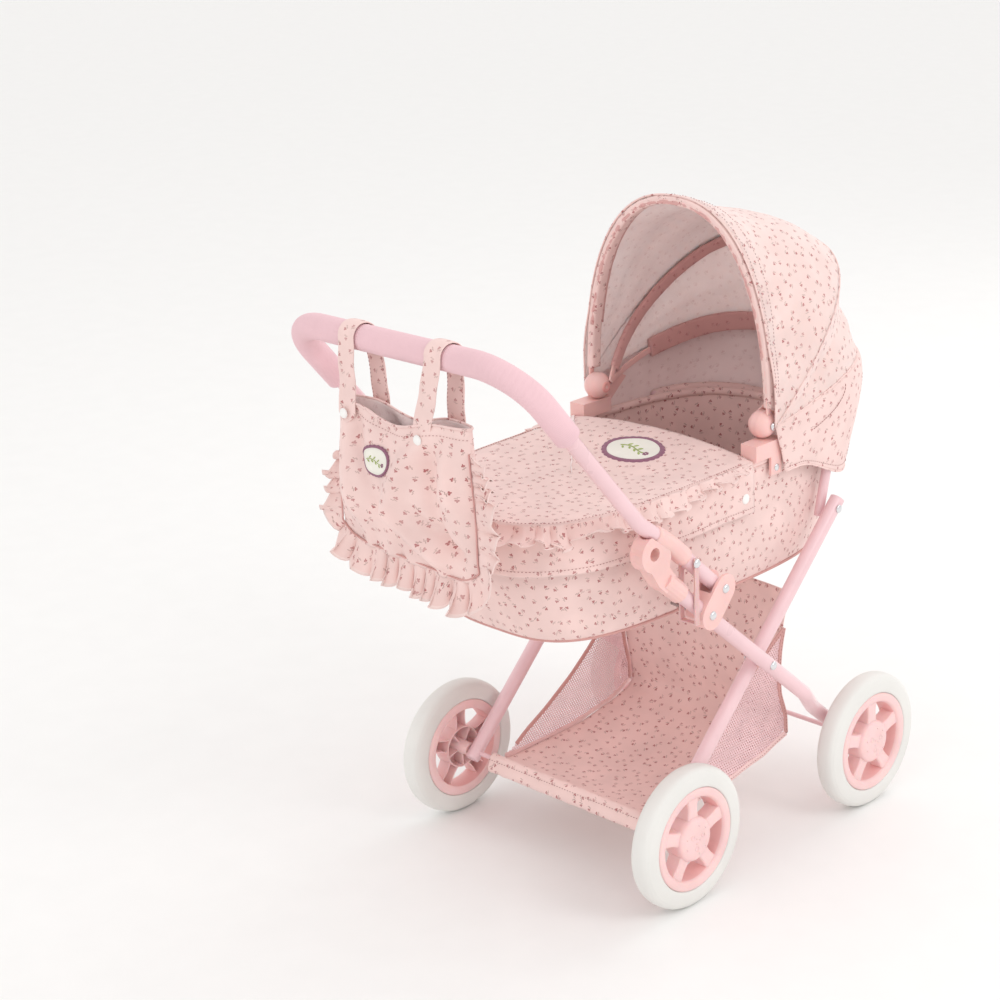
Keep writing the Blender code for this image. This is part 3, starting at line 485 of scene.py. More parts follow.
def cotton(name, ground, strength=1.0, **more):
    """Printed cotton: scattered sprigs of three petals, a stem and two leaves, each turned its own way."""
    f = Finish(name, **{**CLOTH_FACE, "Roughness": 0.86, "Sheen_Weight": 0.22, **more})
    cells = f.scaled(f.uv, 1 / PRINT_PITCH)
    print_ = f.add("TexVoronoi", {"Vector": cells, "Scale": 1.0, "Randomness": 0.85},
                   voronoi_dimensions="2D")
    pick = f.add("SeparateColor", [print_.outputs["Color"]])
    spot = f.vector("SUBTRACT", cells, print_.outputs["Position"])
    spot = f.add("VectorRotate", {"Vector": spot, "Angle": f.math("MULTIPLY", pick.outputs[0], TAU)},
                 rotation_type="Z_AXIS").outputs[0]
    petals, leaves = blobs(f, spot, PETALS), blobs(f, spot, LEAVES)
    mottle = f.span(f.noise(f.uv, 26, 3), 0.3, 0.7)
    base = f.mix(mottle, srgb(*shade(ground, 0.965)), srgb(*[min(1, c * 1.012) for c in ground]))
    fade = f.span(pick.outputs[1], 0.0, 1.0, 0.50 * strength, 0.90 * strength)
    base = f.mix(f.math("MULTIPLY", leaves, f.math("MULTIPLY", fade, 0.85)), base, srgb(*LEAF))
    base = f.mix(f.math("MULTIPLY", petals, fade), base, srgb(*INK))
    cloth_face(f, PUCKER)
    return f.done(base)


def plain_cloth(name, colour, depth=0.0005):
    f = Finish(name, **CLOTH_FACE)
    base = f.mix(f.span(f.noise(f.uv, 60, 3), 0.3, 0.7), srgb(*shade(colour, 0.95)), srgb(*colour))
    cloth_face(f, depth)
    return f.done(base)


PLASTIC = hard("moulded_pink", (0.950, 0.775, 0.755), 0.38, Subsurface_Weight=0.12, Subsurface_Scale=0.004,
               Specular_IOR_Level=0.45)
# A darker copy of the moulded pink: painted shade, used on the plug at each hood ball's inner face.
PLASTIC_SHADED = hard("moulded_pink_painted_shade", (0.93, 0.66, 0.64), 0.42, Subsurface_Weight=0.1, Subsurface_Scale=0.004)
PAINT = hard("painted_steel", (0.930, 0.785, 0.802), 0.30, grain=1500, grain_depth=0.00001, wave_depth=0.00006,
             vary=0.02, Coat_Weight=0.35, Coat_Roughness=0.22, Specular_IOR_Level=0.5)
FOAM = hard("ribbed_foam", (0.920, 0.770, 0.795), 0.82, grain=1800, grain_depth=0.00012, vary=0.02,
            Sheen_Weight=0.15, Specular_IOR_Level=0.25)
TYRE = hard("tyre_foam", (0.900, 0.895, 0.880), 0.55, grain=1100, grain_depth=0.00005, vary=0.012,
            Specular_IOR_Level=0.35)
WHEEL_PINK = hard("wheel_pink", (0.960, 0.810, 0.805), 0.40, Subsurface_Weight=0.12, Subsurface_Scale=0.004)
# A darker copy of the wheel pink: painted shade for the ring's inner face between the spokes.
WHEEL_PINK_SHADED = hard("wheel_pink_painted_shade", (0.945, 0.735, 0.725), 0.45)
STEEL = hard("chrome", (0.88, 0.88, 0.89), 0.14, grain_depth=0.00001, Metallic=1.0)
WHITE = hard("white_snap", (0.955, 0.95, 0.94), 0.28, vary=0.01, Coat_Weight=0.3)
CLEAR = hard("soft_clear_strap", (0.965, 0.80, 0.79), 0.30, Subsurface_Weight=0.3, Subsurface_Scale=0.004,
             Transmission_Weight=0.25)
COTTON = cotton("sprig_cotton", (0.945, 0.828, 0.808))
COTTON_DEEP = cotton("sprig_cotton_basket", (0.955, 0.832, 0.812))
LINING = cotton("sprig_cotton_back", (0.995, 0.925, 0.918), strength=0.22)
THIN = {"Subsurface_Weight": 0.55, "Subsurface_Radius": (1.0, 0.75, 0.70), "Subsurface_Scale": 0.004}
HOOD_COTTON = cotton("sprig_cotton_hood", (0.940, 0.815, 0.795), **THIN)
HOOD_LINING = cotton("sprig_cotton_hood_back", (0.995, 0.925, 0.918), strength=0.22, **THIN)
DEEP_BAND = cotton("sprig_band", (0.860, 0.670, 0.655), strength=0.5)
BINDING = plain_cloth("bias_binding", (0.840, 0.640, 0.620))
FRILL_EDGE = plain_cloth("frill_edge", (0.965, 0.865, 0.845))
PALE_TAPE = plain_cloth("pale_tape", (0.965, 0.825, 0.815))
NETTING = plain_cloth("netting", (0.965, 0.830, 0.845), depth=0.0001)
THREAD_DARK = plain_cloth("thread_dark", (0.66, 0.44, 0.43), depth=0.0001)
BADGE_CREAM = plain_cloth("badge_cream", (0.955, 0.945, 0.905), depth=0.0002)
BADGE_PLUM = plain_cloth("badge_plum", (0.60, 0.42, 0.50), depth=0.0002)
BADGE_GREEN = plain_cloth("badge_green", (0.66, 0.72, 0.42), depth=0.0002)


# ---- camera, light, floor -----------------------------------------------------------------------
def studio():
    scene = bpy.context.scene
    scene.view_settings.view_transform = "Standard"
    data = bpy.data.cameras.new("camera")
    data.lens, data.sensor_width, data.clip_end = 83.28, 36.0, 50.0
    camera = bpy.data.objects.new("camera", data)
    forward = Vector((-0.6769, 0.6571, -0.3315)).normalized()
    level = forward.cross(Vector((0, 0, 1))).normalized()
    upright = level.cross(forward)
    roll = math.radians(-2.5046)
    right = level * math.cos(roll) + upright * math.sin(roll)
    up = upright * math.cos(roll) - level * math.sin(roll)
    turn = Matrix((right, up, -forward)).transposed()
    camera.matrix_world = Matrix.Translation((1.479, -1.5885, 1.128)) @ turn.to_4x4()
    scene.collection.objects.link(camera)
    scene.camera = camera
    world = bpy.data.worlds.new("studio")
    world.use_nodes = True
    background = world.node_tree.nodes["Background"]
    background.inputs["Color"].default_value = (1.0, 0.992, 0.985, 1)
    background.inputs["Strength"].default_value = 1.0
    scene.world = world
    for name, spot, aim, size, power in (
            ("key", (2.2, 0.3, 1.9), (0, 0, 0.3), 1.0, 12),
            ("fill", (-0.2, -2.6, 0.9), (0, 0.1, 0.5), 1.6, 4),
            ("back", (0.1, 2.0, 1.7), (0, 0.2, 0.5), 1.2, 7)):
        lamp = bpy.data.lights.new(name, "AREA")
        lamp.size, lamp.energy = size, power
        obj = bpy.data.objects.new(name, lamp)
        obj.location = spot
        obj.rotation_euler = (Vector(aim) - Vector(spot)).to_track_quat("-Z", "Y").to_euler()
        scene.collection.objects.link(obj)
    reach = 30.0
    rows = [[Vector((x, y, 0)) for x in (-reach, reach)] for y in (-reach, reach)]
    paper = hard("studio_floor", (0.955, 0.952, 0.948), 0.75, vary=0.004, wave_depth=0.0, grain_depth=0.00002)
    floor = surface("floor", rows, paper, lambda i, j: (i, j))


# ---- tubes and rods -----------------------------------------------------------------------------
def pipe(name, path, radius, wall, mat, sides=32):
    """A round tube whose cut ends are open a little way in."""
    path = resampled(path, 0.004)
    lip, depth = 0.0004, 0.008
    first, last = (path[1] - path[0]).normalized(), (path[-2] - path[-1]).normalized()
    points = [path[0] + first * depth, path[0] + first * lip, path[0], path[0] + first * lip] + path[1:-1]
    radii = [radius - wall, radius - wall, radius - wall / 2, radius] + [radius] * (len(path) - 2)
    points += [path[-1] + last * lip, path[-1], path[-1] + last * lip, path[-1] + last * depth]
    radii += [radius, radius - wall / 2, radius - wall, radius - wall]
    frames = along(path)
    frames = [frames[0]] * 4 + frames[1:-1] + [frames[-1]] * 4
    rings = [[p + (s * math.cos(TAU * k / sides) + u * math.sin(TAU * k / sides)) * r for k in range(sides)]
             for p, (_, s, u), r in zip(points, frames, radii)]
    run = lengths(points)
    return surface(name, rings, mat, lambda i, j: (TAU * radius * j / sides, run[i]), wrap=True, caps=True)


def legs():
    foot, bend_low, bend_high = -0.009, 0.073, 0.122
    for side, tag in SIDES:
        inner, outer = Vector((side * IN_X, 0, 0)), Vector((side * OUT_X, 0, 0))
        path = rounded([inner + FRONT_AXLE + UP_FRONT * foot, inner + FRONT_AXLE + UP_FRONT * bend_low,
                        outer + FRONT_AXLE + UP_FRONT * bend_high, outer + STUB_END], 0.03)
        place(pipe(f"front_leg_tube_{tag}", path, TUBE_R, TUBE_WALL, PAINT), "chassis", "painted_tube",
              f"front_leg_{tag}")
        path = [inner + REAR_AXLE + UP_REAR * foot, inner + REAR_AXLE + UP_REAR * 0.380]
        place(pipe(f"rear_leg_tube_{tag}", path, TUBE_R, TUBE_WALL, PAINT), "rear_frame", "painted_tube",
              f"rear_leg_{tag}")
    for name, spot, body in (("front", FRONT_AXLE, "chassis"), ("rear", REAR_AXLE, "rear_frame")):
        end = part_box(f"{name}_axle")[1].x
        path = [Vector((x, spot.y, spot.z)) for x in (-end, end)]
        place(pipe(f"{name}_axle_rod", path, 0.0025, 0.0011, PAINT, 20), body, "painted_tube", f"{name}_axle")


def handle_line(first=None):
    """The handle's middle line, from its right pivot round to its left one."""
    out = Vector((OUT_X, 0, 0))
    start = HANDLE_PIVOT - (BENDS[0] - HANDLE_PIVOT).normalized() * 0.0085
    half = [out + p for p in ([start, *BENDS, BAR] if first is None else [first, BAR])]
    return rounded(both_sides(half), 0.050, 16)


def handle():
    place(pipe("handle_bar", handle_line(), TUBE_R, TUBE_WALL, PAINT), "handle", "painted_tube", "handle_tube")
    end = BAR + (BENDS[1] - BAR).normalized() * 0.094
    path = resampled(handle_line(end), 0.00065)
    rib, sides, tip = 0.0021, 36, 0.0015
    run = lengths(path)

    def grip_ring(i):
        from_end = min(run[i], run[-1] - run[i])
        radius = GRIP_R - 0.00022 + 0.00022 * math.cos(TAU * run[i] / rib)
        radius -= 0.0016 * (1 - ease(from_end, 0, tip))
        return circle(radius, sides)
    place(sweep("foam_grip", path, grip_ring, FOAM), "handle", "foam_grip", "handle_grip")
    lead = HANDLE_PIVOT + (BENDS[0] - HANDLE_PIVOT).normalized() * 0.064
    for side, tag in SIDES:
        out = Vector((side * OUT_X, 0, 0))
        path = resampled(rounded([out + lead, out + BENDS[0], out + BENDS[0].lerp(BENDS[1], 0.56)], 0.05), 0.002)
        run_s = lengths(path)

        def sleeve_ring(i):
            edge = min(run_s[i], run_s[-1] - run_s[i])
            return circle(0.0095 - 0.0012 * (1 - ease(edge, 0, 0.0022)), 32)
        place(sweep(f"grip_sleeve_{tag}", path, sleeve_ring, PLASTIC), "handle", "pink_plastic",
              f"handle_sleeve_{tag}")


def front_hoop():
    lean = Vector((0, 0.0225, 0.083))
    foot = HOOP_RIVET - lean.normalized() * 0.012
    knee = HOOP_RIVET + lean * ((HOOP_FRONT.z - HOOP_RIVET.z) / lean.z)
    out = HOOP_OUT
    middle = out + (knee + HOOP_FRONT) / 2
    arm = rounded([out + foot, out + knee, middle], 0.012)
    corner = rounded([middle, out + HOOP_FRONT, HOOP_FRONT], HOOP_BEND, 12)
    path = both_sides(arm[:-1] + corner[1:-1])
    place(pipe("hoop_tube", path, 0.005, 0.001, PAINT, 24), "chassis", "painted_tube", "front_hoop")
    half, z = RIM_WIDE - WIRE_IN, RIM_Z + WIRE_IN
    rear = []
    for i in range(61):
        x, y = power_arc(half, RIM_LONG - WIRE_IN, TUB_POWER, math.pi + math.pi * i / 60)
        if y < 0:
            rear.append(Vector((x, RIM_Y + y, z)))
    ends = [Vector((s * half, HOOD_PIVOT.y - 0.0275, z)) for s in (-1, 1)]
    place(pipe("rim_wire", [ends[0]] + rear + [ends[1]], 0.0025, 0.0008, PAINT, 14), "chassis", "painted_tube",
          "rim_rod")


# ---- rivets and screws --------------------------------------------------------------------------
def rivet(node, body, shank=0.0020, dome=0.0026, back=None, slot="rivet_steel", mat=None):
    """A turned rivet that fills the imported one's length: domed head, shank and, if back is set, a disc."""
    low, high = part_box(node)
    side = 1 if (low.x + high.x) > 0 else -1
    outer = max(abs(low.x), abs(high.x))
    inner = min(abs(low.x), abs(high.x))
    head = (high.z - low.z) / 2
    profile = [(outer, 0.0)]
    for i in range(1, 9):
        turn = math.pi / 2 * i / 8
        profile.append((outer - dome * (1 - math.cos(turn)), head * math.sin(turn)))
    profile += [(outer - dome - 0.0004, head), (outer - dome - 0.0005, shank)]
    if back:
        profile += [(inner + 0.0011, shank), (inner + 0.0011, back), (inner + 0.0003, back), (inner, back * 0.85)]
    profile += [(inner, shank * 0.6 if not back else back * 0.4), (inner, 0.0)]
    obj = turned(node + "_head", profile, mat or STEEL, 32)
    if side < 0:
        spun(obj, math.pi, "Z")
    return place(moved(obj, at(node)), body, slot, node)


def rivets():
    for _, tag in SIDES:
        rivet(f"cross_rivet_{tag}", "chassis", back=0.0038)
        rivet(f"leg_rivet_{tag}", "chassis", shank=0.0032)
        rivet(f"handle_rivet_{tag}", "chassis", back=0.0038)
        rivet(f"safety_rivet_{tag}", "handle", back=0.0038)
        rivet(f"hoop_rivet_{tag}", "rear_frame", dome=0.0016)
        rivet(f"bracket_rivet_{tag}", "chassis", dome=0.0010)
        rivet(f"snap_{tag}", "chassis", dome=0.0014, slot="snap_white", mat=WHITE)


# ---- wheels -------------------------------------------------------------------------------------
SPOKES = 5


def block(name, corners, mat):
    """A closed prism between two loops of points."""
    return surface(name, corners, mat, lambda i, j: (i * 0.01, j * 0.01), wrap=True, caps=True)


def spoke(turn, mat):
    """A moulded arm, open at the back, that widens where it meets the ring."""
    half, wall, front, back = 0.0066, 0.0013, 0.0094, -0.0062
    section = [(-half, back), (-half, front - 0.0012), (-half + 0.0012, front), (half - 0.0012, front),
               (half, front - 0.0012), (half, back), (half - wall, back), (half - wall, front - 0.0022),
               (-half + wall, front - 0.0022), (-half + wall, back)]
    rings = []
    for r in (0.0190, 0.0245, 0.0290, 0.0340, 0.0385, 0.0430):
        grow = 1 + 0.20 * ease(abs(r - 0.0305), 0.002, 0.012)
        rings.append([Vector((x, t * grow, r)) for t, x in section])
    obj = surface("spoke", rings, mat, lambda i, j: (i * 0.004, j * 0.004), wrap=True, caps=True)
    return spun(obj, turn)


def wheel_form():
    ring = [(-0.0112, 0.0428), (-0.0119, 0.0440), (-0.0119, 0.0512), (-0.0108, 0.0526), (0.0108, 0.0526),
            (0.0119, 0.0516), (0.0121, 0.0500), (0.0119, 0.0452), (0.0108, 0.0436), (0.0085, 0.0426),
            (0.0040, 0.0419), (-0.0060, 0.0419), (-0.0112, 0.0428)]
    hub = [(0.0146, 0.0), (0.0146, 0.0060), (0.0144, 0.0110), (0.0138, 0.0165), (0.0126, 0.0203), (0.0106, 0.0224),
           (0.0060, 0.0230), (-0.0080, 0.0226), (-0.0086, 0.0220), (-0.0080, 0.0212), (0.0045, 0.0208),
           (0.0068, 0.0195), (0.0072, 0.0095), (0.0066, 0.0078), (-0.0180, 0.0070), (-0.0190, 0.0062),
           (-0.0190, 0.0031), (0.0000, 0.0030), (0.0000, 0.0)]
    # the ring's inner face, between the spokes, takes the darker copy of the pink: painted shade
    parts = [turned("ring", ring, [WHEEL_PINK, WHEEL_PINK_SHADED], 112, mat_of=lambda i, j: int(i >= 9)),
             turned("hub", hub, WHEEL_PINK, 72)]
    loop = [(-0.0006, 0.0066), (0.0006, 0.0066), (0.0006, 0.0212), (-0.0006, 0.0212)]
    for i in range(SPOKES):
        parts.append(spoke(TAU * i / SPOKES, WHEEL_PINK))
        rib = block("rib", [[Vector((x, t, r)) for t, r in loop] for x in (-0.0072, 0.0065)], WHEEL_PINK)
        parts.append(spun(rib, TAU * (i + 0.5) / SPOKES))
    # the hub's generic motif: three ringlets, with small dots inside and outside them
    for i in range(3):
        turn = TAU * i / 3 + 0.4
        path = [Vector((0.01455, 0.0085 * math.cos(turn) + a, 0.0085 * math.sin(turn) + b))
                for a, b in circle(0.0024, 20)]
        parts.append(cord_of("ringlet", path, 0.00045, WHEEL_PINK, 8, closed=True))
    for i in range(9):
        turn = TAU * i / 9
        out, reach = (0.0140, 0.0152) if i % 3 else (0.01465, 0.0030)
        outline = [(0.0009, 0.0), (0.0008, 0.0005), (0.0004, 0.0009), (-0.0006, 0.0011)]
        dot = turned("dot", outline, WHEEL_PINK, 12)
        parts.append(moved(dot, (out, reach * math.cos(turn), reach * math.sin(turn))))
    return joined("wheel_form", parts)


def tyre_form():
    half = [(0.0000, 0.0725), (0.0035, 0.07235), (0.0065, 0.07165), (0.0086, 0.07035), (0.0096, 0.0690),
            (0.0099, 0.06815), (0.0104, 0.0676), (0.01085, 0.0665), (0.0114, 0.0640), (0.0119, 0.0605),
            (0.0120, 0.0570), (0.0119, 0.0545), (0.0114, 0.0533), (0.0105, 0.0529)]
    profile = [(-x, r) for x, r in reversed(half)] + half[1:]
    return turned("tyre_form", profile + [(-0.0105, 0.0529)], TYRE, 144)


def wheels():
    wheel, tyre = wheel_form(), tyre_form()
    for end in "FR":
        for side, tag in SIDES:
            name = end + tag
            hub = centre(f"tyre_{name}")
            for form, kind, slot in ((wheel, "wheel", "pink_plastic"), (tyre, "tyre", "tyre")):
                obj = bpy.data.objects.new(f"{kind}_made_{name}", form.data)
                bpy.context.scene.collection.objects.link(obj)
                turn = Matrix.Rotation(0 if side > 0 else math.pi, 4, "Z")
                obj.matrix_world = Matrix.Translation(hub) @ turn
                if kind == "wheel":
                    crease_soft(obj, 0.0005, 2, 40)
                place(obj, f"wheel_{name}", slot, f"{kind}_{name}")
    for form in (wheel, tyre):
        bpy.data.objects.remove(form, do_unlink=True)


# ---- moulded fittings that stay as packed -------------------------------------------------------
def fittings():
    for _, tag in SIDES:
        for node, width in ((f"fold_bracket_{tag}", 0.0016), (f"latch_clip_{tag}", 0.0014),
                            (f"hood_bracket_{tag}", 0.0010), (f"cross_spacer_{tag}", 0.0004),
                            (f"safety_strap_{tag}", 0.0005)):
            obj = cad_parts[node]
            obj.material_slots[0].material = CLEAR if "strap" in node else PLASTIC
            crease_soft(obj, width, 3, 34)


# ---- hood ---------------------------------------------------------------------------------------
def in_hood(x, reach, turn):
    """A point at a reach from the hood's pivot, in the plane of a bow at that turn."""
    return Vector((x, HOOD_PIVOT.y + reach * math.cos(turn), HOOD_PIVOT.z + reach * math.sin(turn)))


def arch(bow, inset, count, start):
    """Evenly spaced (x, reach) points of an arch from +X to -X."""
    _, half, height, power = bow
    turns = [lerp(start, math.pi - start, i / 400) for i in range(401)]
    fine = [Vector((*power_arc(half - inset, height - inset, power, turn), 0)) for turn in turns]
    return [(p.x, p.y) for p in resampled(fine, lengths(fine)[-1] / (count - 1))]


def off_ball(x, reach):
    """Cloth near the pivots passes outside the ball joints."""
    lift = max(0.0, 0.1272 - abs(x)) * (1 - ease(reach, 0.025, 0.085))
    return math.copysign(abs(x) + lift, x)


def crest(bow, count, out=0.0):
    """The cloth's line over a bow, from pivot to pivot."""
    return [(off_ball(x, r), r) for x, r in arch(bow, -out, count, 0.0)]


def armed(bow, inset, foot, low=0.004):
    """A bow's path: an arch whose legs draw in towards the ball joints."""
    path = []
    for x, reach in arch(bow, inset, 161, 0.0):
        part = min(1.0, reach / 0.12)
        if reach >= low:
            drawn = lerp(foot, abs(x), part * (2 - part))
            path.append(in_hood(math.copysign(drawn, x), reach, bow[0]))
    return path


def ball_joint(side, tag):
    """Two moulded half balls with a parting groove, held by a screw whose slot is painted shade: a dark bar on its
    head.
    """
    x0, r = 0.110, 0.014
    profile = []
    for i in range(25):
        turn = math.pi * i / 24
        radius = r * math.sin(turn)
        groove = 0.0007 * math.exp(-((turn - math.pi / 2) / 0.06) ** 2)
        profile.append((x0 + (r - 0.0004) * math.cos(turn), max(0.0, radius - groove)))
    ball = turned(f"hood_ball_{tag}", profile, PLASTIC, 48)
    screw_profile = [(0.1262, 0.0), (0.1262, 0.0020), (0.1258, 0.0036), (0.1250, 0.0043), (0.1238, 0.0044),
                     (0.1236, 0.0030), (0.1100, 0.0022), (0.1100, 0.0)]
    screw = turned(f"hood_screw_head_{tag}", screw_profile, STEEL, 32)
    # the screw's slot is a dark bar standing proud of its head, not a cut: painted shade
    slot = ((-0.0034, -0.0005), (0.0034, -0.0005), (0.0034, 0.0005), (-0.0034, 0.0005))
    slot_shade_bar = block("slot", [[Vector((x, y, z)) for y, z in slot] for x in (0.1258, 0.12645)], BINDING)
    screw = joined(f"hood_screw_head_{tag}", [screw, spun(slot_shade_bar, 0.7)])
    # the plug on the ball's inner face takes the darker copy of the moulded pink: painted shade
    plug = turned("plug", [(0.0985, 0.0), (0.0968, 0.0), (0.0966, 0.0018), (0.0962, 0.0022), (0.0962, 0.0050),
                           (0.0970, 0.0058), (0.0990, 0.0060)], PLASTIC_SHADED, 28)
    ball = joined(f"hood_ball_{tag}", [ball, plug])
    for obj in (ball, screw):
        if side < 0:
            spun(obj, math.pi, "Z")
        moved(obj, HOOD_PIVOT)
    place(ball, "hood_front", "pink_plastic")
    place(screw, "chassis", "rivet_steel", f"hood_screw_{tag}")


def hood_bows():
    """The bows' flat plastic strips, and the cloth sleeves and band inside the hood."""
    def across(bow):
        return (0, -math.sin(bow[0]), math.cos(bow[0]))
    path = [in_hood(x, r, FRONT_BOW[0]) for x, r in arch(FRONT_BOW, 0.004, 81, 0.022)]
    front = band("front_bow_strip", path, 0.0066, 0.0028, PLASTIC, across(FRONT_BOW))
    place(front, "hood_front", "pink_plastic", "hood_bow_front")
    for side, tag in SIDES:
        ball_joint(side, tag)
    for name, bow, foot, body, node in (
            ("middle_bow_strip", MIDDLE_CREST, MIDDLE_FOOT, "hood_middle", "hood_bow_middle"),
            ("rear_bow_strip", REAR_BOW, 0.0985, "chassis", "hood_bow_rear")):
        strip = band(name, armed(bow, 0.0065, foot), 0.0066, 0.0026, PLASTIC, across(bow))
        place(strip, body, "pink_plastic", node)
    for name, bow, body, width, inset, start, shift in (
            ("front_inner_band", FRONT_BOW, "hood_front", 0.017, 0.0055, 0.27, 0.30),
            ("middle_bow_sleeve", MIDDLE_CREST, "hood_middle", 0.0125, 0.0075, 0.0, 0.10),
            ("rear_bow_sleeve", REAR_BOW, "chassis", 0.021, 0.0085, 0.27, -0.12)):
        if start:
            path = [in_hood(x, r, bow[0]) for x, r in arch(bow, inset, 121, start)]
        else:
            path = armed(bow, inset, MIDDLE_FOOT, 0.024)
        off = Vector(across(bow)) * width * -shift
        obj = band(name, [p + off for p in path], width, 0.0058, DEEP_BAND, across(bow), 20)
        sewn(pucker(obj, 0.0004, 130), body)


def pucker(obj, depth, scale):
    """Push a cloth's points a little in and out along their normals."""
    mesh = obj.data
    normals = [v.normal.copy() for v in mesh.vertices]
    for v, n in zip(mesh.vertices, normals):
        v.co += n * depth * rough(*(v.co * scale))
    mesh.update()
    return obj


def lobe(name, upper, lower, hollow, seed):
    """Cloth between two bows: drawn in between them, with creases that run to the pivots."""
    rows, cols, grid = 31, 161, []
    for i in range(rows):
        part = i / (rows - 1)
        turn, half, height, power = [lerp(a, b, part) for a, b in zip(upper, lower)]
        dip = hollow * math.sin(math.pi * part ** 0.8) ** 1.5
        line = crest((turn, half * (1 - dip * 0.3), height * (1 - dip), power), cols)
        row = []
        for j, (x, r) in enumerate(line):
            s = j / (cols - 1)
            open_ = math.sin(math.pi * part) * ease(r, 0.01, 0.08)
            fan = 0.0030 * rough(part * 4.5, x * 6, seed=seed) * open_
            broad = 0.0034 * rough(s * 8, part * 2.6, seed=seed + 3) * open_
            fine = 0.0009 * rough(s * 34, part * 9, seed=seed + 5) * open_
            puck = 0.0008 * math.sin(s * 300 + 4 * rough(s * 20, seed=seed))
            puck *= math.exp(-min(part, 1 - part) / 0.07)
            k = 1 + (fan + broad + fine + puck * ease(r, 0.02, 0.06)) / 0.2
            row.append(in_hood(x * (1 + (k - 1) * 0.8), r * k, turn))
        grid.append(row)
    across = lengths(grid[rows // 2])
    downs = [lengths([row[j] for row in grid]) for j in range(cols)]
    obj = surface(name, grid, [HOOD_COTTON, HOOD_LINING],
                  lambda i, j: (across[j], downs[j][i] - downs[j][-1] / 2), flip=True)
    thick(obj, 0.0010, inside=1)
    return obj, across[-1], max(d[-1] for d in downs), grid


def hood_cloth():
    front = lobe("hood_front_cloth", FRONT_CREST, MIDDLE_CREST, 0.078, 2)
    rear = lobe("hood_rear_cloth", MIDDLE_CREST, REAR_CREST, 0.080, 12)
    for (obj, wide, deep, _), upper, lower, bodies, node, strips in (
            (front, FRONT_BOW, MIDDLE_BOW, ("hood_middle", "hood_front"), "hood_panel_front",
             ["front_bow_strip", "middle_bow_strip"]),
            (rear, MIDDLE_BOW, REAR_BOW, ("chassis", "hood_middle"), "hood_panel_rear",
             ["middle_bow_strip", "rear_bow_strip"])):
        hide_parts(node)
        turn = (upper[0] + lower[0]) / 2 + math.pi / 2
        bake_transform(obj)
    turn = FRONT_BOW[0]
    edge = [in_hood(x, r, turn) + Vector((0, 0.0036, 0)) for x, r in arch(FRONT_BOW, 0.0044, 161, 0.06)]
    hem = band("front_hem", edge, 0.0138, 0.0092, COTTON, keep=(0, 1, 0), sides=24)
    sewn(pucker(hem, 0.0004, 160), "hood_front")
    rim = [in_hood(x, r, turn) + Vector((0, -0.0006, 0)) for x, r in crest(FRONT_CREST, 161)]
    sewn(cord_of("front_edge", rim, 0.0010, COTTON), "hood_front")
    for k, row in enumerate((1, 4)):
        line = [p + (p - HOOD_PIVOT).normalized() * 0.0005 for p in front[3][row][10:-10]]
        stitches(f"front_stitch_{k}", line, "hood_front", size=0.00028)
    for name, bow, body in (("middle_seam", MIDDLE_CREST, "hood_middle"), ("rear_seam", REAR_CREST, "chassis")):
        line = [in_hood(x, r, bow[0]) for x, r in crest(bow, 161, 0.0002)]
        sewn(cord_of(name, line, 0.0009, COTTON), body)


def stitches(name, path, body, share=0.66, size=0.00034):
    """A line of sewn stitches: short raised lengths of thread."""
    per, sides = 6, 6
    path = resampled(path, STITCH_PITCH / per)
    verts, faces, uvs = [], [], []
    frames = along(path)
    for start in range(0, len(path) - per, per):
        steps = range(start, start + int(per * share) + 1)
        base = len(verts)
        for n, i in enumerate(steps):
            _, side, up = frames[i]
            part = n / max(1, len(steps) - 1)
            fat = size * (0.35 + 0.65 * math.sin(math.pi * part) ** 0.5 if 0 < part < 1 else 0.3)
            for k in range(sides):
                a = TAU * k / sides
                verts.append(path[i] + (side * math.cos(a) + up * math.sin(a)) * fat)
        rings = len(steps)
        for n in range(rings - 1):
            for k in range(sides):
                m = (k + 1) % sides
                faces.append([base + n * sides + k, base + n * sides + m, base + (n + 1) * sides + m,
                              base + (n + 1) * sides + k])
                uvs += [(0, 0)] * 4
        faces.append([base + k for k in reversed(range(sides))])
        faces.append([base + (rings - 1) * sides + k for k in range(sides)])
        uvs += [(0, 0)] * (2 * sides)
    return sewn(finish_mesh(name, verts, faces, uvs, [THREAD_DARK]), body)


